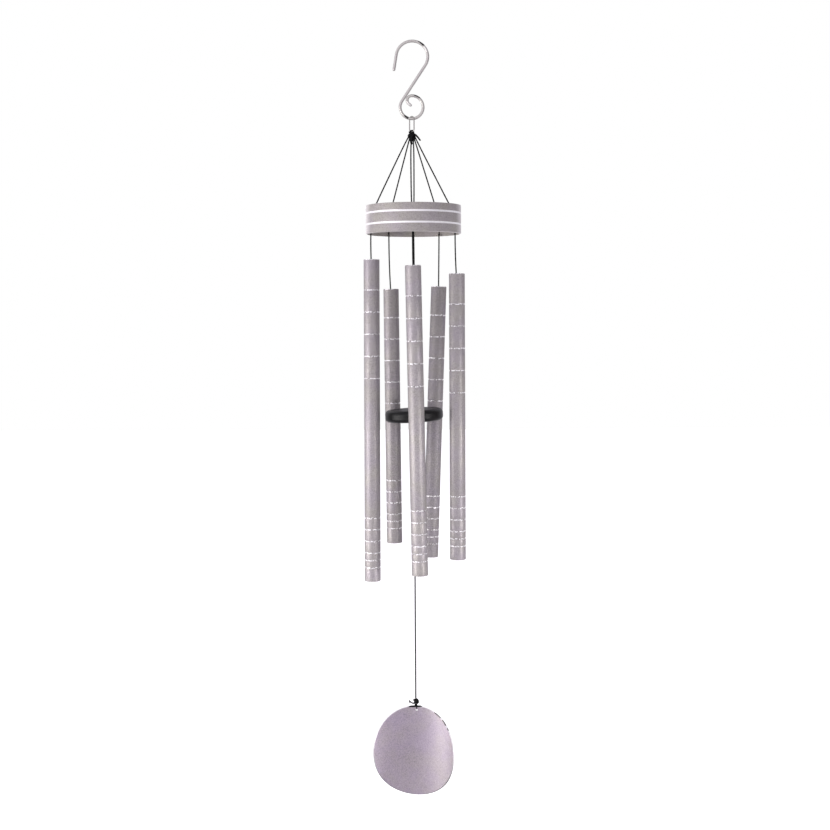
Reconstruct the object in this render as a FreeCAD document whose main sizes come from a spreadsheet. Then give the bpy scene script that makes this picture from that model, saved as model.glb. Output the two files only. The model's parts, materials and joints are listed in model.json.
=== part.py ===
import FreeCAD, Part
import math
import os
import Sketcher

# Wind chime: S-hook, link, top knot, six cords, turned canopy drum, five tubes,
# striker and sail.  Origin = the seat point inside the S-hook's upper bend
# (where the chime hangs), +Z up, +X right, +Y to the rear.  Millimetres.
# A "drop" is a distance below the origin.

Vector = FreeCAD.Vector
Rotation = FreeCAD.Rotation
Placement = FreeCAD.Placement
UP = Vector(0, 0, 1)

os.makedirs("parts", exist_ok=True)
doc = FreeCAD.newDocument("wind_chime")

# ---------------------------------------------------------------- dimensions
DIMENSIONS = [
    # S-hook; the radii are those of the wire's centreline
    ("hook_wire_dia", 3.6), ("hook_bend_radius", 19.7), ("hook_arm_length", 18.9),
    ("hook_arm_deg", 8.5), ("hook_slant_deg", 32.9), ("eye_centre_drop", 80.5),
    ("eye_curl_radius", 5.6), ("eye_tail_length", 4.3),
    # link
    ("link_wire_dia", 1.4), ("link_width", 7.9), ("link_play", 0.25),
    ("link_bottom_drop", 111.6), ("link_turn_deg", 55.0),
    # cords
    ("cord_dia", 1.5), ("sail_cord_dia", 1.1), ("cord_apex_drop", 109.3),
    ("stub_end_drop", 122.3), ("strand_start_drop", 123.3),
    ("loop_ring_radius", 1.8), ("knot_half_width", 4.35), ("knot_half_height", 4.7),
    ("knot_drop", 117.2), ("stopper_radius", 2.2),
    # canopy
    ("canopy_radius", 59.3), ("canopy_wall", 2.2), ("canopy_top_drop", 202.2),
    ("canopy_height", 36.4), ("canopy_round", 0.5), ("canopy_cut_first", 10.8),
    ("canopy_cut_pitch", 13.9), ("canopy_cut_width", 1.6), ("canopy_cut_depth", 0.5),
    ("web_thickness", 3.0), ("web_top_drop", 217.5), ("hole_circle", 54.4),
    ("hole_dia", 2.6), ("hole_phase_deg", 1.27),
    # all tubes: section, pin, and turned cuts
    ("tube_dia", 19.5), ("tube_wall", 1.65), ("tube_round", 0.45),
    ("pin_dia", 2.4), ("pin_below_top", 14.0), ("pin_short", 0.3), ("eyelet_radius", 2.15),
    ("cut_width", 1.6), ("cut_depth", 0.35), ("upper_cut_first", 37.2),
    ("upper_cut_pitch", 27.2), ("lower_cut_last", 17.0), ("lower_cut_fine", 9.1),
    ("lower_cut_wide", 14.2),
    # each tube: length, drop of its top, and lean in degrees (top towards -X)
    ("tube_one_length", 395.2), ("tube_two_length", 322.9), ("tube_three_length", 373.3),
    ("tube_four_length", 344.4), ("tube_five_length", 351.2),
    ("tube_one_top", 270.7), ("tube_two_top", 306.2), ("tube_three_top", 279.2),
    ("tube_four_top", 302.8), ("tube_five_top", 288.4),
    ("tube_one_lean", 0.0), ("tube_two_lean", 0.6), ("tube_three_lean", 1.1),
    ("tube_four_lean", -2.0), ("tube_five_lean", 0.0),
    # offset along X of each tube from its canopy hole, and shifts of its cut groups
    ("tube_one_shift", 0.3), ("tube_two_shift", 2.55), ("tube_three_shift", 0.5),
    ("tube_four_shift", -1.1), ("tube_five_shift", 1.85),
    ("tube_one_up_cuts", 0.0), ("tube_two_up_cuts", -0.9), ("tube_three_up_cuts", -0.6),
    ("tube_four_up_cuts", -0.4), ("tube_five_up_cuts", 0.0),
    ("tube_one_low_cuts", 0.0), ("tube_two_low_cuts", 1.9), ("tube_three_low_cuts", 0.7),
    ("tube_four_low_cuts", 0.0), ("tube_five_low_cuts", 0.0),
    # striker
    ("striker_radius", 36.0), ("striker_thickness", 14.5), ("striker_round", 5.0),
    ("striker_hole_dia", 4.8), ("striker_drop", 463.3), ("striker_tilt_deg", 3.0),
    ("striker_knot_radius", 2.9), ("striker_knot_drop", 474.2),
    # sail
    ("sail_dia", 110.0), ("sail_thickness", 2.0), ("sail_bend_radius", 79.4),
    ("sail_hole_dia", 3.2), ("sail_hole_inset", 4.7), ("sail_hole_drop", 829.9),
    ("sail_offset", 1.8), ("sail_turn_deg", 11.0), ("sail_roll_deg", 1.0),
    ("sail_knot_half_width", 3.3), ("sail_knot_half_height", 3.8),
    ("sail_knot_drop", 819.8), ("sail_loop_radius", 3.05),
]
sheet = doc.addObject("Spreadsheet::Sheet", "dims")
for row, (alias, value) in enumerate(DIMENSIONS, start=1):
    sheet.set("A%d" % row, alias)
    sheet.set("B%d" % row, repr(value))
    sheet.setAlias("B%d" % row, alias)
doc.recompute()


def dim(alias):
    return float(getattr(sheet, alias))


# ---------------------------------------------------------------- shared places
CORD_GAP = 0.2          # between a knot or stopper and the cord beside it
STOPPER_GAP = 0.05      # between the web and the stoppers under it
TURN_ABOVE_WEB = 0.6    # where a slanting strand turns down into its hole

# Tube number: (word in its aliases, azimuth of its hole in degrees from the
# front, -Y, towards -X, before the phase is added)
TUBES = {1: ("one", 72.0), 2: ("two", 144.0), 3: ("three", 0.0),
         4: ("four", -144.0), 5: ("five", -72.0)}

cord_radius = dim("cord_dia") / 2.0
link_bottom_z = -dim("link_bottom_drop")    # centreline of the link's wire
web_bottom_z = -dim("web_top_drop") - dim("web_thickness")
turn_z = -dim("web_top_drop") + TURN_ABOVE_WEB
stopper_z = web_bottom_z - STOPPER_GAP - dim("stopper_radius")
pivot_z = stopper_z - dim("stopper_radius") - CORD_GAP - cord_radius
stub_z = -dim("stub_end_drop")
striker_knot_z = -dim("striker_knot_drop")

strand_apex = Vector(0, 0, -dim("cord_apex_drop"))  # where the outer five strands meet
centre_stub_end = Vector(2.0, 0, stub_z)


def outward(number):
    """Unit vector from the chime's axis towards a tube's hole."""
    azimuth = math.radians(TUBES[number][1] + dim("hole_phase_deg"))
    return Vector(-math.sin(azimuth), -math.cos(azimuth), 0)


def hole_point(number, z):
    direction = outward(number)
    return Vector(direction.x * dim("hole_circle"), direction.y * dim("hole_circle"), z)


def point_at_level(start, end, z):
    """Point at height z on the line through start and end."""
    return start + (end - start) * ((z - start.z) / (end.z - start.z))


# ---------------------------------------------------------------- document helpers
pieces = []


def keep(piece, placement=None):
    """List a finished piece for export, moved to its place."""
    if placement is not None:
        piece.Placement = placement
    pieces.append(piece)


def bind(feature, **expressions):
    for prop, expression in expressions.items():
        feature.setExpression(prop, expression)


def make_body(label):
    body = doc.addObject("PartDesign::Body", label)
    body.Label = label
    return body


def origin_feature(body, role):
    return next(f for f in body.Origin.OriginFeatures if f.Role == role)


def make_sketch(body, name, plane, offset=None):
    """Sketch on an origin plane; offset is a Placement in the plane's frame."""
    sketch = body.newObject("Sketcher::SketchObject", name)
    sketch.AttachmentSupport = (origin_feature(body, plane), [""])
    sketch.MapMode = "FlatFace"
    if offset is not None:
        sketch.AttachmentOffset = offset
    return sketch


def raised(height):
    return Placement(Vector(0, 0, height), Rotation())


def add_circle(sketch, radius, expression, centre=(0, 0), name="r"):
    """Circle with a bound radius, pinned to the origin when centred on it."""
    index = sketch.addGeometry(
        Part.Circle(Vector(centre[0], centre[1], 0), UP, radius), False)
    if centre == (0, 0):
        sketch.addConstraint(Sketcher.Constraint("Coincident", index, 3, -1, 1))
    constraint = sketch.addConstraint(Sketcher.Constraint("Radius", index, radius))
    sketch.renameConstraint(constraint, name)
    sketch.setExpression("Constraints." + name, expression)


def add_line(sketch, start, end):
    return sketch.addGeometry(
        Part.LineSegment(Vector(start[0], start[1], 0), Vector(end[0], end[1], 0)), False)


def add_arc(sketch, centre, radius, start_angle, end_angle):
    full = Part.Circle(Vector(centre[0], centre[1], 0), UP, radius)
    return sketch.addGeometry(Part.ArcOfCircle(full, start_angle, end_angle), False)


def join_ends(sketch, joints):
    """Each joint is (curve, its end, curve, its end); end 1 = start, 2 = finish."""
    for joint in joints:
        sketch.addConstraint(Sketcher.Constraint("Coincident", *joint))


def make_pad(body, name, profile, length_expression):
    doc.recompute()
    pad = body.newObject("PartDesign::Pad", name)
    pad.Profile = profile
    bind(pad, Length=length_expression)
    doc.recompute()
    return pad


def make_hole(body, name, profile, midplane=False):
    """Through cut: along the sketch's normal, or both ways with midplane."""
    doc.recompute()
    pocket = body.newObject("PartDesign::Pocket", name)
    pocket.Profile = profile
    pocket.Type = "ThroughAll"
    if midplane:
        pocket.Midplane = True
    else:
        pocket.Reversed = True
    body.Tip = pocket
    doc.recompute()
    return pocket


def round_rims(body, name, base, radius_expression, rim_radius=None):
    """Fillet the base's circular edges, or only those of one radius."""
    rims = ["Edge%d" % number for number, edge in enumerate(base.Shape.Edges, start=1)
            if isinstance(edge.Curve, Part.Circle) and edge.Closed
            and (rim_radius is None or abs(edge.Curve.Radius - rim_radius) < 1e-6)]
    fillet = body.newObject("PartDesign::Fillet", name)
    fillet.Base = (base, rims)
    bind(fillet, Radius=radius_expression)
    doc.recompute()


def make_sweep(body, name, section, path):
    doc.recompute()
    sweep = body.newObject("PartDesign::AdditivePipe", name)
    sweep.Profile = section
    sweep.Spine = (path, [])
    body.Tip = sweep
    doc.recompute()


def cut_row(body, name, radius, z, width, depth, count, pitch, upward):
    """Row of V-shaped turned lines round Z, the first at height z.

    The name has a slot for the plural s; pitch is an alias.
    """
    overshoot = 0.3     # the V runs on past the surface by this much
    half_mouth = width * 0.5 * (1 + overshoot / depth)
    section = make_sketch(body, name % "" + "_line", "XZ_Plane")
    corners = [(radius + overshoot, z + half_mouth), (radius - depth, z),
               (radius + overshoot, z - half_mouth)]
    for start, end in zip(corners, corners[1:] + corners[:1]):
        add_line(section, start, end)
    join_ends(section, [(0, 2, 1, 1), (1, 2, 2, 1), (2, 2, 0, 1)])
    doc.recompute()
    groove = body.newObject("PartDesign::Groove", name % "")
    groove.Profile = section
    groove.ReferenceAxis = (section, ["V_Axis"])
    groove.Angle = 360.0
    doc.recompute()
    body.Tip = groove

    row = body.newObject("PartDesign::LinearPattern", name % "s")
    row.Originals = [groove]
    row.Direction = (origin_feature(body, "Z_Axis"), [""])
    row.Reversed = not upward
    bind(row, Length="%d * dims.%s" % (count - 1, pitch))
    row.Occurrences = count
    body.Tip = row
    doc.recompute()


def make_cord(name, start, end, diameter="cord_dia"):
    """Straight length of cord with flat ends."""
    cord = doc.addObject("Part::Cylinder", name)
    bind(cord, Radius="dims.%s / 2" % diameter)
    cord.Height = (end - start).Length
    cord.Placement = Placement(start, Rotation(UP, end - start))
    return cord


def make_hung_cord(name, start, end, diameter="cord_dia"):
    """Straight length of cord with a ball end at its start."""
    return [make_cord(name, start, end, diameter),
            make_sphere(name + "_end", start, "dims.%s / 2" % diameter)]


def make_sphere(name, centre, radius_expression):
    sphere = doc.addObject("Part::Sphere", name)
    bind(sphere, Radius=radius_expression)
    sphere.Placement = Placement(centre, Rotation())
    return sphere


def make_knot_ball(name, centre, half_width, half_height):
    ball = doc.addObject("Part::Ellipsoid", name)
    bind(ball, Radius1="dims." + half_height, Radius2="dims." + half_width,
         Radius3="dims." + half_width)
    ball.Placement = Placement(centre, Rotation())
    return ball


def make_loop(name, centre, axis, radius, diameter="cord_dia"):
    """Ring of cord; radius and diameter are aliases."""
    loop = doc.addObject("Part::Torus", name)
    bind(loop, Radius1="dims." + radius, Radius2="dims.%s / 2" % diameter)
    loop.Placement = Placement(centre, Rotation(UP, axis))
    return loop


def keep_fused(label, shapes):
    fusion = doc.addObject("Part::MultiFuse", label)
    fusion.Label = label
    fusion.Shapes = shapes
    fusion.Refine = True
    keep(fusion)


# ---------------------------------------------------------------- S-hook
def on_circle(centre, radius, angle):
    return (centre[0] + radius * math.cos(angle), centre[1] + radius * math.sin(angle))


def ahead(point, angle, distance):
    """Move a point along the anticlockwise tangent at an angle on its circle."""
    return (point[0] - math.sin(angle) * distance, point[1] + math.cos(angle) * distance)


def make_hook():
    """One wire in the XZ plane; returns the height of the eye's lowest centreline."""
    wire_radius = dim("hook_wire_dia") / 2.0
    bend_radius = dim("hook_bend_radius")
    curl_radius = dim("eye_curl_radius")
    slant = math.radians(dim("hook_slant_deg"))
    arm_angle = math.pi - math.radians(dim("hook_arm_deg"))
    curl_angle = math.radians(230.0)

    bend_centre = (0.0, wire_radius - bend_radius)
    eye_centre = (0.0, -dim("eye_centre_drop"))
    # The slanting straight crosses between bend and eye, tangent to both.
    eye_radius = (bend_centre[1] - eye_centre[1]) * math.sin(slant) - bend_radius
    curl_centre = (0.0, eye_centre[1] + eye_radius - curl_radius)

    arm_top = on_circle(bend_centre, bend_radius, arm_angle)
    arm_tip = ahead(arm_top, arm_angle, dim("hook_arm_length"))
    slant_top = on_circle(bend_centre, bend_radius, -slant)
    slant_foot = on_circle(eye_centre, eye_radius, math.pi - slant)
    curl_end = on_circle(curl_centre, curl_radius, curl_angle)
    tail_end = ahead(curl_end, curl_angle, dim("eye_tail_length"))

    hook = make_body("s_hook")
    path = make_sketch(hook, "hook_path", "XZ_Plane")
    arm = add_line(path, arm_tip, arm_top)
    bend = add_arc(path, bend_centre, bend_radius, -slant, arm_angle)
    straight = add_line(path, slant_top, slant_foot)
    eye = add_arc(path, eye_centre, eye_radius, math.pi - slant, 2.5 * math.pi)
    curl = add_arc(path, curl_centre, curl_radius, 0.5 * math.pi, curl_angle)
    tail = add_line(path, curl_end, tail_end)
    join_ends(path, [(arm, 2, bend, 2), (bend, 1, straight, 1), (straight, 2, eye, 1),
                     (eye, 2, curl, 1), (curl, 2, tail, 1)])

    # The section stands at the arm's tip, square to the arm.
    into_arm = Vector(math.sin(arm_angle), 0, -math.cos(arm_angle))
    section = make_sketch(hook, "hook_section", "XY_Plane",
                          Placement(Vector(arm_tip[0], 0, arm_tip[1]),
                                    Rotation(UP, into_arm)))
    add_circle(section, wire_radius, "dims.hook_wire_dia / 2")
    make_sweep(hook, "hook_bar", section, path)
    for name, point in (("hook_tip", arm_tip), ("eye_tip", tail_end)):
        ball = hook.newObject("PartDesign::AdditiveSphere", name)
        bind(ball, Radius="dims.hook_wire_dia / 2")
        ball.Placement = Placement(Vector(point[0], 0, point[1]), Rotation())
        doc.recompute()
        hook.Tip = ball
    keep(hook)
    return eye_centre[1] - eye_radius


# ---------------------------------------------------------------- link ring
def make_link(eye_bottom_z):
    """Long ring hanging in the eye, turned about Z."""
    wire_radius = dim("link_wire_dia") / 2.0
    end_radius = dim("link_width") / 2.0
    top_z = eye_bottom_z + dim("hook_wire_dia") / 2.0 + dim("link_play") + wire_radius
    upper_z = top_z - end_radius
    lower_z = link_bottom_z + end_radius

    link = make_body("link_ring")
    path = make_sketch(link, "link_path", "XZ_Plane")
    top = add_arc(path, (0, upper_z), end_radius, 0.0, math.pi)
    left = add_line(path, (-end_radius, upper_z), (-end_radius, lower_z))
    bottom = add_arc(path, (0, lower_z), end_radius, math.pi, 2 * math.pi)
    right = add_line(path, (end_radius, lower_z), (end_radius, upper_z))
    join_ends(path, [(top, 2, left, 1), (left, 2, bottom, 1), (bottom, 2, right, 1),
                     (right, 2, top, 1)])
    section = make_sketch(link, "link_section", "XY_Plane",
                          raised((upper_z + lower_z) / 2.0))
    add_circle(section, wire_radius, "dims.link_wire_dia / 2", (end_radius, 0.0))
    make_sweep(link, "link_bar", section, path)
    keep(link, Placement(Vector(0, 0, 0), Rotation(UP, -dim("link_turn_deg"))))


# ---------------------------------------------------------------- top knot
def make_top_knot():
    """Loop round the link, ball, six strand stubs and two loose tails."""
    strand_root_z = -116.2
    turn = math.radians(dim("link_turn_deg"))
    link_across = Vector(math.cos(turn), -math.sin(turn), 0)
    parts = [
        make_loop("knot_loop", Vector(0, 0, link_bottom_z), link_across,
                  "loop_ring_radius"),
        make_knot_ball("knot_ball", Vector(0, 0, -dim("knot_drop")),
                       "knot_half_width", "knot_half_height"),
    ]
    for number in TUBES:
        target = hole_point(number, turn_z)
        parts.append(make_cord("knot_strand_%d" % number,
                               point_at_level(strand_apex, target, strand_root_z),
                               point_at_level(strand_apex, target, stub_z)))
    for name, start, end in (
            ("knot_strand_6", Vector(1.0, 0, -117.5), centre_stub_end),
            ("knot_tail_right", Vector(2.4, 0, -114.6), Vector(9.6, -0.8, -121.5)),
            ("knot_tail_down", Vector(-0.6, 1.2, -119.0), Vector(-1.0, 2.2, -125.6))):
        parts.append(make_cord(name, start, end))
    keep_fused("top_knot", parts)


# ---------------------------------------------------------------- upper cords
def make_upper_cord(label, part_name, line_start, turn_point):
    """Strand down to the web, shank through its hole and stopper below.

    part_name has a slot for the name of each part.
    """
    start = point_at_level(line_start, turn_point, -dim("strand_start_drop"))
    stop_point = Vector(turn_point.x, turn_point.y, stopper_z)
    keep_fused(label, [
        make_cord(part_name % "strand", start, turn_point),
        make_cord(part_name % "shank", turn_point, stop_point),
        make_sphere(part_name % "turn", turn_point, "dims.cord_dia / 2 + 0.15"),
        make_sphere(part_name % "stop", stop_point, "dims.stopper_radius"),
    ])


# ---------------------------------------------------------------- canopy
def make_canopy_ring():
    """Open drum with two turned lines; local origin at its lower rim."""
    radius = dim("canopy_radius")
    height = dim("canopy_height")
    drum = make_body("canopy_ring")
    section = make_sketch(drum, "drum_section", "XY_Plane")
    add_circle(section, radius, "dims.canopy_radius", name="outer")
    add_circle(section, radius - dim("canopy_wall"),
               "dims.canopy_radius - dims.canopy_wall", name="inner")
    wall = make_pad(drum, "drum_wall", section, "dims.canopy_height")
    round_rims(drum, "drum_round", wall, "dims.canopy_round")
    cut_row(drum, "drum_cut%s", radius, height - dim("canopy_cut_first"),
            dim("canopy_cut_width"), dim("canopy_cut_depth"),
            count=2, pitch="canopy_cut_pitch", upward=False)
    keep(drum, raised(-dim("canopy_top_drop") - height))


def make_canopy_web():
    """Disc across the drum with a middle hole and five cord holes."""
    hole_radius = dim("hole_dia") / 2
    web = make_body("canopy_web")
    outline = make_sketch(web, "web_outline", "XY_Plane")
    add_circle(outline, dim("canopy_radius") - dim("canopy_wall"),
               "dims.canopy_radius - dims.canopy_wall")
    make_pad(web, "web_plate", outline, "dims.web_thickness")

    front_hole = hole_point(3, 0)
    hole = make_sketch(web, "web_hole", "XY_Plane")
    add_circle(hole, hole_radius, "dims.hole_dia / 2", (front_hole.x, front_hole.y))
    hole_cut = make_hole(web, "web_hole_cut", hole)
    holes = web.newObject("PartDesign::PolarPattern", "web_holes")
    holes.Originals = [hole_cut]
    holes.Axis = (origin_feature(web, "Z_Axis"), [""])
    holes.Angle = 360.0
    holes.Occurrences = len(TUBES)
    web.Tip = holes
    doc.recompute()

    middle = make_sketch(web, "web_middle", "XY_Plane")
    add_circle(middle, hole_radius, "dims.hole_dia / 2")
    make_hole(web, "web_middle_cut", middle)
    keep(web, raised(web_bottom_z))


# ---------------------------------------------------------------- tubes
def make_tube(number):
    """Tube, its pin and its cord.

    The tube's local origin is at its lower end, X towards the outside of the chime.
    """
    prefix = "tube_%s_" % TUBES[number][0]
    length = dim(prefix + "length")
    radius = dim("tube_dia") / 2.0
    pin_height = length - dim("pin_below_top")
    pin_point = hole_point(number, -dim(prefix + "top") - dim("pin_below_top"))
    pin_point += Vector(dim(prefix + "shift"), 0, 0)

    tube = make_body("tube_%d" % number)
    section = make_sketch(tube, "tube_section_%d" % number, "XY_Plane")
    add_circle(section, radius, "dims.tube_dia / 2", name="outer")
    add_circle(section, radius - dim("tube_wall"),
               "dims.tube_dia / 2 - dims.tube_wall", name="inner")
    wall = make_pad(tube, "tube_wall_%d" % number, section, "dims.%slength" % prefix)
    round_rims(tube, "tube_ends_%d" % number, wall, "dims.tube_round", rim_radius=radius)
    pin_hole = make_sketch(tube, "pin_hole_%d" % number, "YZ_Plane")
    add_circle(pin_hole, dim("pin_dia") / 2, "dims.pin_dia / 2", (0, pin_height))
    make_hole(tube, "pin_hole_cut_%d" % number, pin_hole, midplane=True)

    upper_first = length - (dim("upper_cut_first") + dim(prefix + "up_cuts"))
    lower_last = dim("lower_cut_last") + dim(prefix + "low_cuts")
    wide_first = lower_last + 2 * dim("lower_cut_fine") + dim("lower_cut_wide")
    for group, z, count, pitch, upward in (
            ("upper", upper_first, 5, "upper_cut_pitch", False),
            ("fine", lower_last, 3, "lower_cut_fine", True),
            ("wide", wide_first, 3, "lower_cut_wide", True)):
        cut_row(tube, "%s_cut%%s_%d" % (group, number), radius, z,
                dim("cut_width"), dim("cut_depth"), count, pitch, upward)

    direction = outward(number)
    facing = math.degrees(math.atan2(direction.y, direction.x))
    rotation = Rotation(Vector(0, 1, 0), -dim(prefix + "lean")).multiply(
        Rotation(UP, facing))
    keep(tube, Placement(pin_point - rotation.multVec(UP) * pin_height, rotation))

    # Pin across the tube, radial to the chime
    pin_axis = rotation.multVec(Vector(1, 0, 0))
    pin = doc.addObject("Part::Cylinder", "tube_pin_%d" % number)
    pin.Label = "tube_pin_%d" % number
    bind(pin, Radius="dims.pin_dia / 2", Height="dims.tube_dia - dims.pin_short")
    keep(pin, Placement(pin_point - pin_axis * (radius - dim("pin_short") / 2.0),
                        Rotation(UP, pin_axis)))

    # Cord from the canopy to an eyelet round the pin
    cord = make_hung_cord("tube_strand_%d" % number, hole_point(number, pivot_z),
                          pin_point + Vector(0, 0, dim("eyelet_radius")))
    cord.append(make_loop("tube_eyelet_%d" % number, pin_point, pin_axis,
                          "eyelet_radius"))
    keep_fused("tube_cord_%d" % number, cord)


# ---------------------------------------------------------------- striker
def make_striker():
    """Rounded puck, tilted about Y; local origin at its centre."""
    lower_face = raised(-dim("striker_thickness") / 2.0)
    striker = make_body("striker")
    outline = make_sketch(striker, "striker_outline", "XY_Plane", lower_face)
    add_circle(outline, dim("striker_radius"), "dims.striker_radius")
    puck = make_pad(striker, "striker_puck", outline, "dims.striker_thickness")
    round_rims(striker, "striker_rim", puck, "dims.striker_round")
    hole = make_sketch(striker, "striker_hole", "XY_Plane", lower_face)
    add_circle(hole, dim("striker_hole_dia") / 2, "dims.striker_hole_dia / 2")
    make_hole(striker, "striker_hole_cut", hole)
    keep(striker, Placement(Vector(0, 0, -dim("striker_drop")),
                            Rotation(Vector(0, 1, 0), -dim("striker_tilt_deg"))))


def make_striker_cord():
    knot_centre = Vector(0, 0, striker_knot_z)
    cord = make_hung_cord("striker_strand", Vector(0, 0, pivot_z), knot_centre)
    cord.append(make_sphere("striker_stop", knot_centre, "dims.striker_knot_radius"))
    keep_fused("striker_cord", cord)


# ---------------------------------------------------------------- sail
sail_knot = Vector(dim("sail_offset"), 0, -dim("sail_knot_drop"))
sail_hole = Vector(dim("sail_offset"), 0, -dim("sail_hole_drop"))
sail_rotation = Rotation(UP, -dim("sail_turn_deg")).multiply(
    Rotation(Vector(0, 1, 0), dim("sail_roll_deg")))


def make_sail_cord():
    """Cord from below the striker's knot to just above the sail's knot."""
    top_z = (striker_knot_z - dim("striker_knot_radius") - CORD_GAP
             - dim("sail_cord_dia") / 2.0)
    foot = sail_knot + Vector(0, 0, dim("sail_knot_half_height") + CORD_GAP)
    keep_fused("sail_cord", make_hung_cord("sail_strand", Vector(0, 0, top_z), foot,
                                           "sail_cord_dia"))


def make_sail_knot():
    """Ball, loop through the sail's hole and a loose tail."""
    loop_above_hole = 0.6   # from the hole's centre to the loop's lowest centreline
    loop_centre = sail_hole + Vector(0, 0, loop_above_hole + dim("sail_loop_radius"))
    keep_fused("sail_knot", [
        make_knot_ball("sail_knot_ball", sail_knot,
                       "sail_knot_half_width", "sail_knot_half_height"),
        make_loop("sail_knot_loop", loop_centre, sail_rotation.multVec(Vector(1, 0, 0)),
                  "sail_loop_radius", "sail_cord_dia"),
        make_cord("sail_knot_tail", sail_knot + Vector(-1.6, 0, -1.6),
                  sail_knot + Vector(-8.0, -0.6, 0.6), "sail_cord_dia"),
    ])


def make_sail():
    """Round disc rolled to a shallow curve, hollow side to the front.

    A flat circle is wrapped on an upright cylinder; local origin at the disc's
    centre.
    """
    bend_radius = dim("sail_bend_radius")
    disc_radius = dim("sail_dia") / 2.0
    half_thickness = dim("sail_thickness") / 2
    hole_height = disc_radius - dim("sail_hole_inset")
    outline_points = 48
    outline_y = 5.0         # the outline stands behind the disc
    outline_depth = 40.0    # and is extruded forwards through it
    end_margin = 10.0       # the cylinders run past the disc by this much
    drill_length = 20.0

    points = []
    for k in range(outline_points):
        angle = 2 * math.pi * k / outline_points
        arc_length = disc_radius * math.cos(angle)
        points.append(Vector(bend_radius * math.sin(arc_length / bend_radius),
                             outline_y, disc_radius * math.sin(angle)))
    outline = Part.BSplineCurve()
    outline.interpolate(Points=points, PeriodicFlag=True)
    face = Part.Face(Part.Wire([outline.toShape()]))
    prism = face.extrude(Vector(0, -outline_depth, 0))

    base = Vector(0, -bend_radius, -disc_radius - end_margin)
    height = 2 * (disc_radius + end_margin)
    outer = Part.makeCylinder(bend_radius + half_thickness, height, base, UP)
    inner = Part.makeCylinder(bend_radius - half_thickness, height, base, UP)
    drill = Part.makeCylinder(dim("sail_hole_dia") / 2, drill_length,
                              Vector(0, -drill_length / 2, hole_height), Vector(0, 1, 0))
    plate = prism.common(outer.cut(inner)).cut(drill)

    sail = doc.addObject("Part::Feature", "sail")
    sail.Label = "sail"
    sail.Shape = plate.Solids[0]
    local_hole = Vector(0, 0, hole_height)
    keep(sail, Placement(sail_hole - sail_rotation.multVec(local_hole), sail_rotation))


# ---------------------------------------------------------------- build
make_link(make_hook())
make_top_knot()
for tube_number in TUBES:
    make_upper_cord("suspension_cord_%d" % tube_number, "upper_%%s_%d" % tube_number,
                    strand_apex, hole_point(tube_number, turn_z))
make_upper_cord("centre_cord", "centre_%s", centre_stub_end, Vector(0, 0, turn_z))
make_canopy_ring()
make_canopy_web()
for tube_number in TUBES:
    make_tube(tube_number)
make_striker()
make_striker_cord()
make_sail_cord()
make_sail_knot()
make_sail()

# ---------------------------------------------------------------- check and export
doc.recompute()
faults = [(item.Name, list(item.State)) for item in doc.Objects
          if "Invalid" in item.State or "Error" in item.State]
for piece in pieces:
    shape = piece.Shape
    if shape.isNull() or not shape.isValid() or len(shape.Solids) != 1:
        faults.append((piece.Label, "not one valid solid"))
if faults:
    raise RuntimeError("bad objects: %r" % faults)
for piece in pieces:
    piece.Shape.exportStep("parts/%s.step" % piece.Label)
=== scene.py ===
import bpy
import bmesh
import json
import math
import numpy as np
from mathutils import Matrix, Vector


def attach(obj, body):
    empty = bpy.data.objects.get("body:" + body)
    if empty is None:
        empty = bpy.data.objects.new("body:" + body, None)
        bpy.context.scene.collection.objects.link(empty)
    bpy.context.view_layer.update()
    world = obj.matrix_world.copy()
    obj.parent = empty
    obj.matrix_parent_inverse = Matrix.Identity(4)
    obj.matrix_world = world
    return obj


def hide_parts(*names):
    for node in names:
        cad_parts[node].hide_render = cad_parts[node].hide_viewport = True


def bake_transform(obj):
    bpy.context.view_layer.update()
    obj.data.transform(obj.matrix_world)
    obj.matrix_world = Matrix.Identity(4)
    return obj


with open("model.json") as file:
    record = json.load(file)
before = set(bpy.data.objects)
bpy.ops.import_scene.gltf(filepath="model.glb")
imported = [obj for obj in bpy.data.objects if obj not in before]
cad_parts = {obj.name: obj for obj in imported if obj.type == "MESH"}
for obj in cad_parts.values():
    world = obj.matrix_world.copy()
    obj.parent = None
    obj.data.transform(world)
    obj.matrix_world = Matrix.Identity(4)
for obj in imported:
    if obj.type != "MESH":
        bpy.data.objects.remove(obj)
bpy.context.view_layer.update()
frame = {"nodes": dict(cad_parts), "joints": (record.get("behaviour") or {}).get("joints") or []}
MM = 0.001
J = {j["name"]: j for j in frame["joints"]}
NODES = frame["nodes"]


# ------------------------------------------------------------------ mesh tools
def make_mesh(name, verts, faces, mats, indices=None, smooth_deg=32.0):
    """verts in millimetres, faces as index tuples, one material index per face."""
    me = bpy.data.meshes.new(name)
    me.from_pydata([tuple(float(c) * MM for c in v) for v in verts], [], [tuple(f) for f in faces])
    for m in mats:
        me.materials.append(m)
    if indices is not None:
        me.polygons.foreach_set("material_index", np.array(indices, np.int32))
    me.polygons.foreach_set("use_smooth", np.ones(len(me.polygons), bool))
    bm = bmesh.new()
    bm.from_mesh(me)
    bmesh.ops.recalc_face_normals(bm, faces=bm.faces)
    bm.to_mesh(me)
    bm.free()
    me.set_sharp_from_angle(angle=math.radians(smooth_deg))
    me.update()
    ob = bpy.data.objects.new(name, me)
    bpy.context.scene.collection.objects.link(ob)
    return ob


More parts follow.
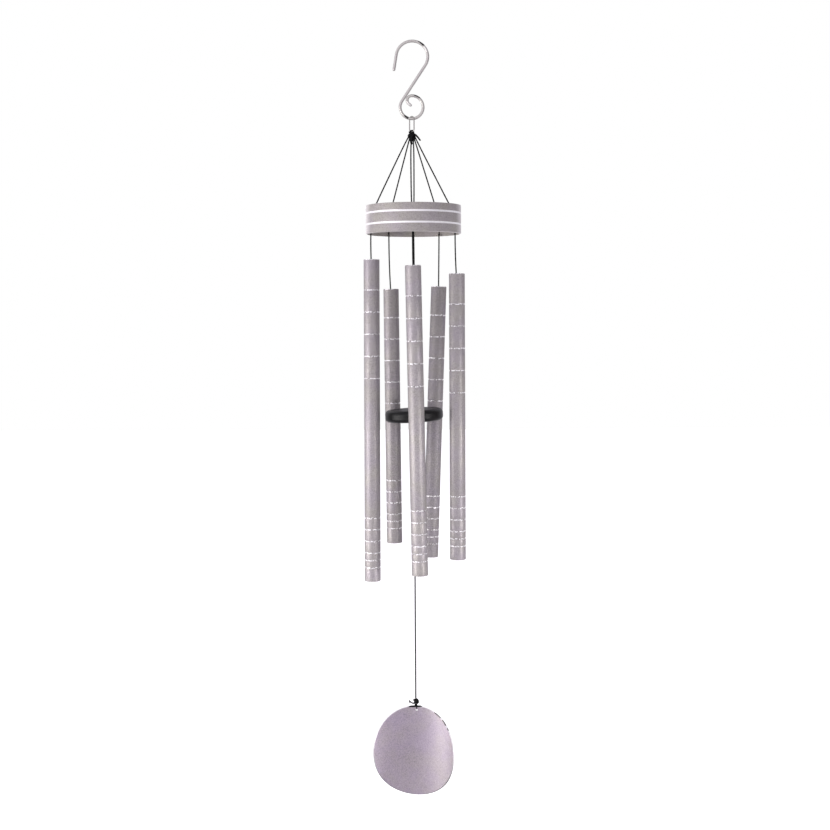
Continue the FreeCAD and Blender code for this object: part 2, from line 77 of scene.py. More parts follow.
def lathe(name, profile, seg_mats, mats, segments=96, origin=(0, 0, 0), up=(0, 0, 1),
          closed=True, smooth_deg=32.0, wobble=None):
    """Revolves a closed (r, h) profile about up.  seg_mats: material of each profile segment."""
    up = Vector(up).normalized()
    side = up.orthogonal().normalized()
    if abs(up.z) > 0.5:
        side = (Vector((1, 0, 0)) - up * up.x).normalized()
    fwd = up.cross(side)
    o = Vector(origin)
    n = len(profile)
    verts, faces, idx = [], [], []
    for k in range(segments):
        a = 2 * math.pi * k / segments
        ca, sa = math.cos(a), math.sin(a)
        for j, (r, h) in enumerate(profile):
            rr = r if wobble is None else r + wobble(j, a)
            verts.append(o + side * (rr * ca) + fwd * (rr * sa) + up * h)
    m = n if closed else n - 1
    for k in range(segments):
        k2 = (k + 1) % segments
        for j in range(m):
            j2 = (j + 1) % n
            faces.append((k * n + j, k2 * n + j, k2 * n + j2, k * n + j2))
            idx.append(seg_mats[j])
    return make_mesh(name, verts, faces, mats, idx, smooth_deg)


def resample(path, step, closed=False):
    p = np.array([tuple(v) for v in path], float)
    if closed:
        p = np.vstack([p, p[:1]])
    seg = np.linalg.norm(np.diff(p, axis=0), axis=1)
    s = np.concatenate([[0], np.cumsum(seg)])
    n = max(3, int(round(s[-1] / step)))
    q = np.linspace(0, s[-1], n + 1)
    out = np.stack([np.interp(q, s, p[:, k]) for k in range(3)], axis=1)
    if closed:
        out = out[:-1]
        q = q[:-1]
    return out, q


def smooth_path(ctrl, samples=24, closed=False):
    """Catmull-Rom curve through control points."""
    c = [np.array(tuple(v), float) for v in ctrl]
    n = len(c)
    out = []
    last = n if closed else n - 1
    for i in range(last):
        if closed:
            p0, p1, p2, p3 = c[(i - 1) % n], c[i], c[(i + 1) % n], c[(i + 2) % n]
        else:
            p1, p2 = c[i], c[i + 1]
            p0 = c[i - 1] if i > 0 else 2 * p1 - p2
            p3 = c[i + 2] if i + 2 < n else 2 * p2 - p1
        for k in range(samples):
            t = k / samples
            out.append(0.5 * ((2 * p1) + (p2 - p0) * t + (2 * p0 - 5 * p1 + 4 * p2 - p3) * t * t
                              + (3 * p1 - p0 - 3 * p2 + p3) * t ** 3))
    if not closed:
        out.append(c[-1])
    return out


def sweep(path, radius, sides, step, closed=False, braid=0.0, carriers=4, pitch=6.0,
          round_ends=True, taper=None):
    """Sweeps a round (or braided) section along a path; returns verts, faces (mm)."""
    pts, s = resample(path, step, closed)
    n = len(pts)
    if closed:
        tang = np.roll(pts, -1, 0) - np.roll(pts, 1, 0)
    else:
        tang = np.gradient(pts, axis=0)
    tang /= np.linalg.norm(tang, axis=1)[:, None]
    nrm = np.zeros_like(pts)
    ref = np.array([0.0, 0, 1.0]) if abs(tang[0][2]) < 0.9 else np.array([1.0, 0, 0])
    v = ref - tang[0] * (ref @ tang[0])
    nrm[0] = v / np.linalg.norm(v)
    for i in range(1, n):
        v = nrm[i - 1] - tang[i] * (nrm[i - 1] @ tang[i])
        nrm[i] = v / np.linalg.norm(v)
    twist = 0.0
    if closed:
        v = nrm[-1] - tang[0] * (nrm[-1] @ tang[0])
        v /= np.linalg.norm(v)
        twist = math.atan2(np.cross(nrm[0], v) @ tang[0], nrm[0] @ v)
    bin_ = np.cross(tang, nrm)
    ang = 2 * np.pi * np.arange(sides) / sides
    verts = []
    for i in range(n):
        a = ang - twist * i / n
        if braid:
            ph = 2 * np.pi * carriers * s[i] / pitch
            if closed:
                turns = max(1, round(carriers * s[-1] / pitch))
                ph = 2 * np.pi * turns * i / n
            h = np.maximum(np.cos(carriers * ang + ph), np.cos(carriers * ang - ph))
            r = radius * (1 + braid * (h - 0.6))
        else:
            r = np.full(sides, radius)
        if taper is not None:
            r = r * taper(i / max(1, n - 1))
        verts.append(pts[i] + nrm[i] * (r * np.cos(a))[:, None] + bin_[i] * (r * np.sin(a))[:, None])
    verts = np.concatenate(verts)
    faces = []
    rng = n if closed else n - 1
    for i in range(rng):
        i2 = (i + 1) % n
        for k in range(sides):
            k2 = (k + 1) % sides
            faces.append((i * sides + k, i * sides + k2, i2 * sides + k2, i2 * sides + k))
    if not closed:
        verts = list(verts)
        for end, tdir in ((0, -tang[0]), (n - 1, tang[-1])):
            base = end * sides
            centre = pts[end]
            ring = base
            if round_ends:
                for f in (0.55, 0.85):
                    start = len(verts)
                    cr = math.sqrt(1 - f * f)
                    for k in range(sides):
                        off = verts[base + k] - centre
                        verts.append(centre + off * cr + tdir * radius * f)
                    for k in range(sides):
                        k2 = (k + 1) % sides
                        a, b, c, e = ring + k, ring + k2, start + k2, start + k
                        faces.append((a, b, c, e) if end else (b, a, e, c))
                    ring = start
                tip = centre + tdir * radius
            else:
                tip = centre
            verts.append(tip)
            t = len(verts) - 1
            for k in range(sides):
                k2 = (k + 1) % sides
                faces.append((ring + k, ring + k2, t) if end else (ring + k2, ring + k, t))
        verts = np.array(verts)
    return verts, faces


def gather(chunks):
    vs, fs, off = [], [], 0
    for v, f in chunks:
        vs.append(np.asarray(v))
        fs += [tuple(i + off for i in q) for q in f]
        off += len(v)
    return np.concatenate(vs), fs


def swept(name, chunks, mat, smooth_deg=60.0):
    v, f = gather(chunks)
    return make_mesh(name, v, f, [mat], None, smooth_deg)


def trefoil(centre, R, rho, stretch=1.0, spin=0.0, tilt=(0, 0, 0), n=140):
    """Overhand-knot centre line, axis along Z."""
    out = []
    m = Matrix.Rotation(tilt[2], 3, "Z") @ Matrix.Rotation(tilt[1], 3, "Y") @ Matrix.Rotation(tilt[0], 3, "X")
    for k in range(n):
        t = 2 * math.pi * k / n
        r = R + rho * math.cos(3 * t)
        p = Vector((r * math.cos(2 * t + spin), r * math.sin(2 * t + spin), rho * math.sin(3 * t) * stretch))
        out.append(tuple(Vector(centre) + m @ p))
    return out


def offset_bundle(path, radius, count, spread, closed=True, twist=2.0):
    """count parallel strands wound round a path."""
    pts = np.array(path)
    n = len(pts)
    tang = np.roll(pts, -1, 0) - np.roll(pts, 1, 0)
    tang /= np.linalg.norm(tang, axis=1)[:, None]
    out = []
    nrm = np.zeros_like(pts)
    v = np.cross(tang[0], [0.3, 0.2, 1.0])
    nrm[0] = v / np.linalg.norm(v)
    for i in range(1, n):
        v = nrm[i - 1] - tang[i] * (nrm[i - 1] @ tang[i])
        nrm[i] = v / np.linalg.norm(v)
    v = nrm[-1] - tang[0] * (nrm[-1] @ tang[0])
    v /= np.linalg.norm(v)
    fix = math.atan2(np.cross(nrm[0], v) @ tang[0], nrm[0] @ v)
    bn = np.cross(tang, nrm)
    turns = round(twist)
    for c in range(count):
        a = 2 * np.pi * c / count + 2 * np.pi * turns * np.arange(n) / n - fix * np.arange(n) / n
        out.append(pts + nrm * (spread * np.cos(a))[:, None] + bn * (spread * np.sin(a))[:, None])
    return out


# ------------------------------------------------------------------ materials
def new_mat(name):
    m = bpy.data.materials.new(name)
    m.use_nodes = True
    nt = m.node_tree
    nt.nodes.clear()
    out = nt.nodes.new("ShaderNodeOutputMaterial")
    bsdf = nt.nodes.new("ShaderNodeBsdfPrincipled")
    nt.links.new(bsdf.outputs[0], out.inputs[0])
    return m, nt, bsdf


def node(nt, kind, **kw):
    n = nt.nodes.new(kind)
    for k, v in kw.items():
        if k in n.inputs:
            n.inputs[k].default_value = v
        else:
            setattr(n, k, v)
    return n


def noise(nt, coord, scale, detail=2.0, rough=0.5, distortion=0.0):
    n = nt.nodes.new("ShaderNodeTexNoise")
    n.inputs["Scale"].default_value = scale
    n.inputs["Detail"].default_value = detail
    n.inputs["Roughness"].default_value = rough
    n.inputs["Distortion"].default_value = distortion
    nt.links.new(coord, n.inputs["Vector"])
    return n


def ramp(nt, fac, stops, interp="LINEAR"):
    r = nt.nodes.new("ShaderNodeValToRGB")
    r.color_ramp.interpolation = interp
    els = r.color_ramp.elements
    while len(els) < len(stops):
        els.new(0.5)
    for e, (p, c) in zip(els, stops):
        e.position = p
        e.color = (*c, 1.0) if len(c) == 3 else c
    nt.links.new(fac, r.inputs[0])
    return r


def mix(nt, a, b, fac, mode="MIX"):
    m = nt.nodes.new("ShaderNodeMix")
    m.data_type = "RGBA"
    m.blend_type = mode
    for sock, val in ((m.inputs[6], a), (m.inputs[7], b), (m.inputs[0], fac)):
        if hasattr(val, "is_output"):
            nt.links.new(val, sock)
        elif isinstance(val, (int, float)):
            sock.default_value = val
        else:
            sock.default_value = (*val, 1.0) if len(val) == 3 else val
    return m.outputs[2]


def math_node(nt, op, a, b=None, clamp=False):
    m = nt.nodes.new("ShaderNodeMath")
    m.operation = op
    m.use_clamp = clamp
    for sock, val in ((m.inputs[0], a), (m.inputs[1], b)):
        if val is None:
            continue
        if hasattr(val, "is_output"):
            nt.links.new(val, sock)
        else:
            sock.default_value = val
    return m.outputs[0]


def coords(nt):
    return nt.nodes.new("ShaderNodeTexCoord").outputs["Object"]


def srgb(r, g, b):
    f = lambda c: (c / 255 / 12.92) if c / 255 <= 0.04045 else ((c / 255 + 0.055) / 1.055) ** 2.4
    return (f(r), f(g), f(b))


def paint(name, base, light, dark, metallic=0.35, rough=0.36, grain=1.0, outline_shade=0.55, sheen=0.0):
    """Satin speckled coating: flake, pits, slow mottling, orange peel, worn bright corners, painted shade towards the
    outline and an optional painted highlight there.
    """
    m, nt, b = new_mat(name)
    co = coords(nt)
    slow = noise(nt, co, 30.0, 3.0, 0.6)
    tone = ramp(nt, slow.outputs[0], [(0.30, tuple(c * 0.94 for c in base)), (0.70, tuple(min(1, c * 1.06) for c in base))])
    hue = noise(nt, co, 42.0, 2.5, 0.55)
    tint = ramp(nt, hue.outputs[0], [(0.37, (0.985, 0.948, 1.05)), (0.62, (1.0, 1.0, 0.945))])
    col = mix(nt, tone.outputs[0], tint.outputs[0], 0.8, "MULTIPLY")
    coarse = noise(nt, co, 620.0, 3.0, 0.7)
    cr = ramp(nt, coarse.outputs[0], [(0.34, (1 - 0.20 * grain,) * 3), (0.66, (1 + 0.20 * grain,) * 3)])
    col = mix(nt, col, cr.outputs[0], 1.0, "MULTIPLY")
    fine = noise(nt, co, 1500.0, 2.0, 0.65)
    spots = ramp(nt, fine.outputs[0], [(0.42, (0, 0, 0)), (0.62, (1, 1, 1))])
    col = mix(nt, col, light, math_node(nt, "MULTIPLY", spots.outputs[0], 0.34 * grain))
    pits = noise(nt, co, 1150.0, 1.0, 0.5)
    pit = ramp(nt, pits.outputs[0], [(0.30, (1, 1, 1)), (0.40, (0, 0, 0))])
    col = mix(nt, col, dark, math_node(nt, "MULTIPLY", pit.outputs[0], 0.50 * grain))
    # painted shade: the colour darkens towards the outline, where the surface turns away from view
    lw = nt.nodes.new("ShaderNodeLayerWeight")
    lw.inputs["Blend"].default_value = 0.5
    rim = ramp(nt, lw.outputs["Facing"], [(0.55, (1, 1, 1)), (0.95, (outline_shade, outline_shade, outline_shade * 0.97))])
    col = mix(nt, col, rim.outputs[0], 1.0, "MULTIPLY")
    if sheen:                                       # painted highlight: the colour is lightened towards the outline
        outline_highlight = ramp(nt, lw.outputs["Facing"], [(0.55, (0, 0, 0)), (0.97, (1, 1, 1))])
        col = mix(nt, col, (0.95, 0.93, 0.92), math_node(nt, "MULTIPLY", outline_highlight.outputs[0], sheen))
    bev = nt.nodes.new("ShaderNodeBevel")
    bev.samples = 4
    bev.inputs["Radius"].default_value = 0.0005
    geo = nt.nodes.new("ShaderNodeNewGeometry")
    dot = nt.nodes.new("ShaderNodeVectorMath")
    dot.operation = "DOT_PRODUCT"
    nt.links.new(bev.outputs[0], dot.inputs[0])
    nt.links.new(geo.outputs["Normal"], dot.inputs[1])
    edge = math_node(nt, "SUBTRACT", 1.0, dot.outputs["Value"])
    patch = noise(nt, co, 240.0, 3.0, 0.6)
    wear = math_node(nt, "MULTIPLY", math_node(nt, "MULTIPLY", edge, 6.0, True),
                     ramp(nt, patch.outputs[0], [(0.38, (0.15,) * 3), (0.62, (1,) * 3)]).outputs[0], True)
    col = mix(nt, col, (0.80, 0.79, 0.80), math_node(nt, "MULTIPLY", wear, 0.7))
    nt.links.new(col, b.inputs["Base Color"])
    b.inputs["Metallic"].default_value = metallic
    b.inputs["Specular IOR Level"].default_value = 0.30
    b.inputs["Specular Tint"].default_value = (0.55, 0.54, 0.54, 1)
    rr = noise(nt, co, 420.0, 3.0, 0.6)
    r2 = nt.nodes.new("ShaderNodeMapRange")
    r2.inputs["To Min"].default_value = rough - 0.07
    r2.inputs["To Max"].default_value = rough + 0.09
    nt.links.new(rr.outputs[0], r2.inputs["Value"])
    nt.links.new(r2.outputs[0], b.inputs["Roughness"])
    peel = noise(nt, co, 820.0, 2.0, 0.55)
    add = math_node(nt, "ADD", peel.outputs[0], math_node(nt, "MULTIPLY", fine.outputs[0], 0.5))
    bump = nt.nodes.new("ShaderNodeBump")
    bump.inputs["Strength"].default_value = 0.45
    bump.inputs["Distance"].default_value = 0.00008
    nt.links.new(add, bump.inputs["Height"])
    nt.links.new(bump.outputs[0], b.inputs["Normal"])
    return m


def metal(name, base, rough, brush=None, brush_scale=900.0, scratch=0.15, bump_d=0.00002, metallic=1.0):
    """Bare metal: brush = axis the tooling marks are stretched along, or None."""
    m, nt, b = new_mat(name)
    co = coords(nt)
    mp = nt.nodes.new("ShaderNodeMapping")
    mp.inputs["Scale"].default_value = {None: (1, 1, 1), "X": (0.06, 1, 1), "Y": (1, 0.06, 1),
                                        "Z": (1, 1, 0.06), "RING": (0.05, 0.05, 1)}[brush]
    nt.links.new(co, mp.inputs[0])
    fine = noise(nt, mp.outputs[0], brush_scale, 4.0, 0.65)
    slow = noise(nt, co, 60.0, 3.0, 0.55)
    col = ramp(nt, fine.outputs[0], [(0.3, tuple(c * 0.88 for c in base)), (0.7, base)])
    dull = ramp(nt, slow.outputs[0], [(0.35, (0.93, 0.93, 0.94)), (0.65, (1, 1, 1))])
    nt.links.new(mix(nt, col.outputs[0], dull.outputs[0], 1.0, "MULTIPLY"), b.inputs["Base Color"])
    b.inputs["Metallic"].default_value = metallic
    r2 = nt.nodes.new("ShaderNodeMapRange")
    r2.inputs["To Min"].default_value = max(0.02, rough - 0.06)
    r2.inputs["To Max"].default_value = rough + 0.10
    nt.links.new(fine.outputs[0], r2.inputs["Value"])
    nt.links.new(r2.outputs[0], b.inputs["Roughness"])
    bump = nt.nodes.new("ShaderNodeBump")
    bump.inputs["Strength"].default_value = scratch
    bump.inputs["Distance"].default_value = bump_d
    nt.links.new(fine.outputs[0], bump.inputs["Height"])
    nt.links.new(bump.outputs[0], b.inputs["Normal"])
    return m


def along_mask(nt, co, p, q, radius, soft):
    """1 close to the segment p-q (millimetres, object space), 0 away from it."""
    ax = Vector(q) - Vector(p)
    length = ax.length
    ax.normalize()
    sub = nt.nodes.new("ShaderNodeVectorMath")
    sub.operation = "SUBTRACT"
    nt.links.new(co, sub.inputs[0])
    sub.inputs[1].default_value = tuple(c * MM for c in p)
    dot = nt.nodes.new("ShaderNodeVectorMath")
    dot.operation = "DOT_PRODUCT"
    nt.links.new(sub.outputs[0], dot.inputs[0])
    dot.inputs[1].default_value = tuple(ax)
    t = math_node(nt, "MINIMUM", math_node(nt, "MAXIMUM", dot.outputs["Value"], 0.0), length * MM)
    sc = nt.nodes.new("ShaderNodeVectorMath")
    sc.operation = "SCALE"
    sc.inputs[0].default_value = tuple(ax)
    nt.links.new(t, sc.inputs["Scale"])
    away = nt.nodes.new("ShaderNodeVectorMath")
    away.operation = "DISTANCE"
    nt.links.new(sub.outputs[0], away.inputs[0])
    nt.links.new(sc.outputs[0], away.inputs[1])
    mr = nt.nodes.new("ShaderNodeMapRange")
    mr.inputs["From Min"].default_value = (radius + soft) * MM
    mr.inputs["From Max"].default_value = radius * MM
    nt.links.new(away.outputs["Value"], mr.inputs["Value"])
    return mr.outputs[0]


def wire_metal(name, base, rough, marks=(), pale=(), edge=0.55, shade_by_height=None):
    """Satin drawn wire: fine lengthwise drawing marks, soft tarnish, painted shade towards the outline, painted dark
    reflections along given segments, painted highlights along others, and optional painted shade by height.
    """
    m, nt, b = new_mat(name)
    co = coords(nt)
    fine = noise(nt, co, 1500.0, 3.0, 0.65)
    slow = noise(nt, co, 60.0, 2.0, 0.5)
    col = ramp(nt, fine.outputs[0], [(0.3, tuple(c * 0.94 for c in base)), (0.7, tuple(min(1, c * 1.04) for c in base))])
    dull = ramp(nt, slow.outputs[0], [(0.32, (0.92, 0.90, 0.92)), (0.68, (1.05, 1.06, 1.04))])
    col = mix(nt, col.outputs[0], dull.outputs[0], 1.0, "MULTIPLY")
    # painted shade: the colour darkens towards the outline by the factor edge
    lw = nt.nodes.new("ShaderNodeLayerWeight")
    lw.inputs["Blend"].default_value = 0.5
    rim = ramp(nt, lw.outputs["Facing"], [(0.35, (1, 1, 1)), (0.92, (edge,) * 3)])
    col = mix(nt, col, rim.outputs[0], 1.0, "MULTIPLY")
    if shade_by_height:                                        # painted shade by height: (z at full tone, z at darkest, darkest tone), mm
        sp = nt.nodes.new("ShaderNodeSeparateXYZ")
        nt.links.new(co, sp.inputs[0])
        mr = nt.nodes.new("ShaderNodeMapRange")
        mr.inputs["From Min"].default_value = shade_by_height[1] * MM
        mr.inputs["From Max"].default_value = shade_by_height[0] * MM
        mr.inputs["To Min"].default_value = shade_by_height[2]
        nt.links.new(sp.outputs[2], mr.inputs["Value"])
        col = mix(nt, col, mr.outputs[0], 1.0, "MULTIPLY")
    # painted highlights: the colour is lightened along each segment in pale
    for p, q, r, soft in pale:
        col = mix(nt, col, (0.80, 0.79, 0.77), math_node(nt, "MULTIPLY", along_mask(nt, co, p, q, r, soft), 0.8))
    # painted dark reflections: nearly black and less metallic along each segment in marks
    dark = None
    for p, q, r, soft in marks:
        k = along_mask(nt, co, p, q, r, soft)
        dark = k if dark is None else math_node(nt, "MAXIMUM", dark, k)
    if dark is not None:
        col = mix(nt, col, (0.012, 0.012, 0.012), dark)
        nt.links.new(math_node(nt, "SUBTRACT", 1.0, math_node(nt, "MULTIPLY", dark, 0.8)), b.inputs["Metallic"])
    else:
        b.inputs["Metallic"].default_value = 1.0
    nt.links.new(col, b.inputs["Base Color"])
    b.inputs["Specular Tint"].default_value = (0.6, 0.6, 0.6, 1)
    r2 = nt.nodes.new("ShaderNodeMapRange")
    r2.inputs["To Min"].default_value = rough - 0.06
    r2.inputs["To Max"].default_value = rough + 0.10
    nt.links.new(slow.outputs[0], r2.inputs["Value"])
    nt.links.new(r2.outputs[0], b.inputs["Roughness"])
    bump = nt.nodes.new("ShaderNodeBump")
    bump.inputs["Strength"].default_value = 0.12
    bump.inputs["Distance"].default_value = 0.00001
    nt.links.new(fine.outputs[0], bump.inputs["Height"])
    nt.links.new(bump.outputs[0], b.inputs["Normal"])
    return m


def cut_metal():
    """Turned cut through the coating: bright metal broken by patches where coating crept back in."""
    m, nt, b = new_mat("bright_cut_metal")
    co = coords(nt)
    patch = noise(nt, co, 520.0, 2.0, 0.6)
    keep = ramp(nt, patch.outputs[0], [(0.44, (0, 0, 0)), (0.53, (1, 1, 1))])
    fine = noise(nt, co, 1900.0, 3.0, 0.6)
    bright = ramp(nt, fine.outputs[0], [(0.3, (0.90, 0.89, 0.90)), (0.7, (1.0, 0.99, 1.0))])
    nt.links.new(mix(nt, (0.26, 0.24, 0.24), bright.outputs[0], keep.outputs[0]), b.inputs["Base Color"])
    nt.links.new(math_node(nt, "ADD", math_node(nt, "MULTIPLY", keep.outputs[0], 0.35), 0.45), b.inputs["Metallic"])
    nt.links.new(math_node(nt, "SUBTRACT", 0.55, math_node(nt, "MULTIPLY", keep.outputs[0], 0.20)), b.inputs["Roughness"])
    bump = nt.nodes.new("ShaderNodeBump")
    bump.inputs["Strength"].default_value = 0.3
    bump.inputs["Distance"].default_value = 0.00003
    nt.links.new(fine.outputs[0], bump.inputs["Height"])
    nt.links.new(bump.outputs[0], b.inputs["Normal"])
    return m


def cord_mat(name, tone=0.022):
    m, nt, b = new_mat(name)
    co = coords(nt)
    fibre = noise(nt, co, 5200.0, 3.0, 0.7)
    slow = noise(nt, co, 130.0, 2.0, 0.5)
    c1 = ramp(nt, fibre.outputs[0], [(0.32, (tone * 0.45,) * 3), (0.60, (tone, tone, tone * 1.05)),
                                     (0.78, (tone * 2.8, tone * 2.8, tone * 2.9))])
    c2 = ramp(nt, slow.outputs[0], [(0.35, (0.8, 0.8, 0.82)), (0.65, (1.15, 1.15, 1.15))])
    nt.links.new(mix(nt, c1.outputs[0], c2.outputs[0], 1.0, "MULTIPLY"), b.inputs["Base Color"])
    b.inputs["Roughness"].default_value = 0.72
    b.inputs["Sheen Weight"].default_value = 0.02
    b.inputs["Sheen Roughness"].default_value = 0.4
    b.inputs["Specular IOR Level"].default_value = 0.12
    wave = nt.nodes.new("ShaderNodeBump")
    wave.inputs["Strength"].default_value = 0.6
    wave.inputs["Distance"].default_value = 0.00006
    nt.links.new(fibre.outputs[0], wave.inputs["Height"])
    nt.links.new(wave.outputs[0], b.inputs["Normal"])
    return m


def striker_mat():
    """Black lacquered puck: faint growth of turning marks, soft sheen, tiny scuffs on the rim."""
    m, nt, b = new_mat("striker_black_satin")
    co = coords(nt)
    mp = nt.nodes.new("ShaderNodeMapping")
    mp.inputs["Scale"].default_value = (0.10, 1.0, 1.0)
    nt.links.new(co, mp.inputs[0])
    grain = noise(nt, mp.outputs[0], 520.0, 4.0, 0.6, 0.4)
    slow = noise(nt, co, 70.0, 3.0, 0.6)
    c = ramp(nt, grain.outputs[0], [(0.30, (0.0030, 0.0030, 0.0032)), (0.62, (0.0065, 0.0063, 0.0066)), (0.80, (0.014, 0.0135, 0.014))])
    scuff = noise(nt, co, 900.0, 4.0, 0.7)
    sc = ramp(nt, scuff.outputs[0], [(0.66, (0, 0, 0)), (0.74, (1, 1, 1))])
    col = mix(nt, c.outputs[0], (0.055, 0.054, 0.056), math_node(nt, "MULTIPLY", sc.outputs[0], 0.5))
    nt.links.new(col, b.inputs["Base Color"])
    r2 = nt.nodes.new("ShaderNodeMapRange")
    r2.inputs["To Min"].default_value = 0.34
    r2.inputs["To Max"].default_value = 0.50
    nt.links.new(slow.outputs[0], r2.inputs["Value"])
    nt.links.new(r2.outputs[0], b.inputs["Roughness"])
    b.inputs["Specular IOR Level"].default_value = 0.36
    b.inputs["Specular Tint"].default_value = (0.5, 0.5, 0.5, 1)
    bump = nt.nodes.new("ShaderNodeBump")
    bump.inputs["Strength"].default_value = 0.25
    bump.inputs["Distance"].default_value = 0.00008
    nt.links.new(grain.outputs[0], bump.inputs["Height"])
    nt.links.new(bump.outputs[0], b.inputs["Normal"])
    return m


BASE = srgb(151, 147, 147)
LIGHT = srgb(208, 203, 204)
DARK = srgb(88, 84, 84)
M_PAINT = paint("tube_speckled_paint", BASE, LIGHT, DARK, 0.32, 0.44, 0.8, 0.66)
# painted shade: darker copies of the tube paint for the rear tubes 2 and 4
M_PAINT_SHADED = {2: paint("tube_speckled_paint_2", srgb(146, 142, 142), srgb(203, 198, 199), srgb(84, 80, 80), 0.31, 0.46, 0.8, 0.66),
                4: paint("tube_speckled_paint_4", srgb(138, 134, 136), srgb(195, 190, 192), srgb(78, 74, 75), 0.28, 0.52, 0.8, 0.66)}
# canopy: no painted shade at the outline, a strong painted highlight there instead
M_CANOPY = paint("canopy_speckled_paint", srgb(157, 153, 150), srgb(213, 209, 206), srgb(92, 89, 86), 0.22, 0.56, 0.8, 1.0, 0.9)
# painted light: a slightly lighter, less metallic copy of the canopy paint for the inside of the drum
M_INSIDE = paint("canopy_inside_paint_lightened", srgb(160, 156, 151), srgb(200, 196, 191), srgb(92, 88, 85), 0.10, 0.62, 0.8, 1.0)
M_SAIL = paint("sail_speckled_paint", srgb(150, 141, 151), srgb(203, 195, 203), srgb(90, 83, 91), 0.60, 0.38, 0.8, 0.95)
M_CUT = cut_metal()
M_BAND = metal("bright_band_metal", (1.0, 0.995, 0.99), 0.42, "RING", 1500.0, 0.25, metallic=0.35)
M_BORE = metal("bare_bore_metal", (0.62, 0.61, 0.62), 0.38, "Z", 1400.0, 0.4, 0.00004)
# hook: painted dark reflections (first list) and painted highlights (second list) at set places on the wire
M_HOOK = wire_metal("satin_hook_wire", (0.60, 0.585, 0.555), 0.40,
                    [((8.0, -1.2, 1.7), (13.2, -1.2, -3.0), 1.1, 0.8), ((2.2, -1.2, -65.2), (8.6, -1.2, -68.4), 1.0, 0.7),
                     ((-10.0, -1.3, -91.2), (-6.6, -1.3, -94.0), 0.9, 0.7)],
                    [((-1.2, -1.0, -78.0), (-4.0, -1.0, -74.5), 1.6, 3.0), ((14.6, -1.7, -5.0), (17.4, -1.7, -11.0), 0.4, 1.0)])
# link: strong painted shade towards the outline
M_LINK = wire_metal("link_drawn_wire", (0.40, 0.39, 0.37), 0.32, edge=0.35)
M_PIN = metal("drawn_pin_steel", (0.56, 0.56, 0.57), 0.30, "X", 1600.0, 0.3)
M_CORD = cord_mat("black_braided_cord", 0.007)
M_LINE = cord_mat("black_thin_line", 0.008)
M_STRIKER = striker_mat()


# ------------------------------------------------------------------ shared sizes (mm)
TUBE_R, WALL = 9.75, 1.65
RING_R, RING_WALL, RING_TOP, RING_BOT = 59.3, 2.2, -202.2, -238.6
WEB_TOP, WEB_BOT = -217.5, -220.5
PIVOT = J["tube_1_swing"]["pos_m"][2] * 1000
KNOT_SEAT = -222.75
TOPS = {1: -270.7, 2: -306.2, 3: -279.2, 4: -302.8, 5: -288.4}
LENS = {1: 395.2, 2: 322.9, 3: 373.3, 4: 344.4, 5: 351.2}
UP_CUTS = {1: 0.0, 2: -0.9, 3: -0.6, 4: -0.4, 5: 0.0}
LOW_CUTS = {1: 0.0, 2: 1.9, 3: 0.7, 4: 0.0, 5: 0.0}
SEAT = {i: tuple(c * 1000 for c in J["tube_%d_swing" % i]["pos_m"][:2]) for i in range(1, 6)}
PIN = {i: Vector([c * 1000 for c in J["tube_%d_rock" % i]["pos_m"]]) for i in range(1, 6)}
LEAN = {1: 0.0, 2: 0.6, 3: 1.1, 4: -2.0, 5: 0.0}


def sway(z):
    """Sideways set (mm) of the hanging parts at height z: the hook leans a touch to the left."""
    return float(np.interp(-z, [-5, 0, 80, 95, 123, 160, 215], [-0.8, -0.8, -1.65, -1.5, -1.5, -0.9, 0.0]))


def swayed(points):
    return [(p[0] + sway(p[2]), p[1], p[2]) for p in points]


# ------------------------------------------------------------------ S-hook
def arc(cx, cz, r, a0, a1, n):
    return [(cx + r * math.cos(math.radians(a0 + (a1 - a0) * k / n)), 0.0,
             cz + r * math.sin(math.radians(a0 + (a1 - a0) * k / n))) for k in range(n + 1)]


hook_path = arc(0, -17.9, 19.7, 171.5, -32.9, 70)
h0 = hook_path[0]
arm = [(h0[0] - 0.1478 * 18.9 * t, 0.0, h0[2] - 0.9890 * 18.9 * t) for t in (1.0, 0.75, 0.5, 0.25)]
hook_path = arm + hook_path + arc(0, -80.5, 14.30, 147.1, 450, 90) + arc(0, -71.80, 5.6, 90, 230, 30)[1:]
hx, hz = hook_path[-1][0], hook_path[-1][2]
hook_path.append((hx + 3.0 * math.cos(math.radians(-40)), 0.0, hz + 3.0 * math.sin(math.radians(-40))))
hook_path = swayed(hook_path)
hook = swept("hook_wire", [sweep(hook_path, 1.8, 28, 0.7, round_ends=True)], M_HOOK)
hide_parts("s_hook")
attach(hook, "hook")

# ------------------------------------------------------------------ link
U = Vector(J["knot_swing"]["axis"]).normalized()
r_l = 3.95
link_pts = []
for k in range(25):
    a = math.pi * k / 24
    link_pts.append((r_l * math.cos(a), -92.05 - r_l + r_l * math.sin(a)))
for k in range(25):
    a = math.pi + math.pi * k / 24
    link_pts.append((r_l * math.cos(a), -111.6 + r_l + r_l * math.sin(a)))
UL = Vector((math.cos(math.radians(46)), -math.sin(math.radians(46)), 0))
link_path = swayed([tuple(UL * s + Vector((0, 0, z))) for s, z in link_pts])
link = swept("link_wire", [sweep(link_path, 0.7, 20, 0.45, closed=True)], M_LINK)
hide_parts("link_ring")
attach(link, "link")

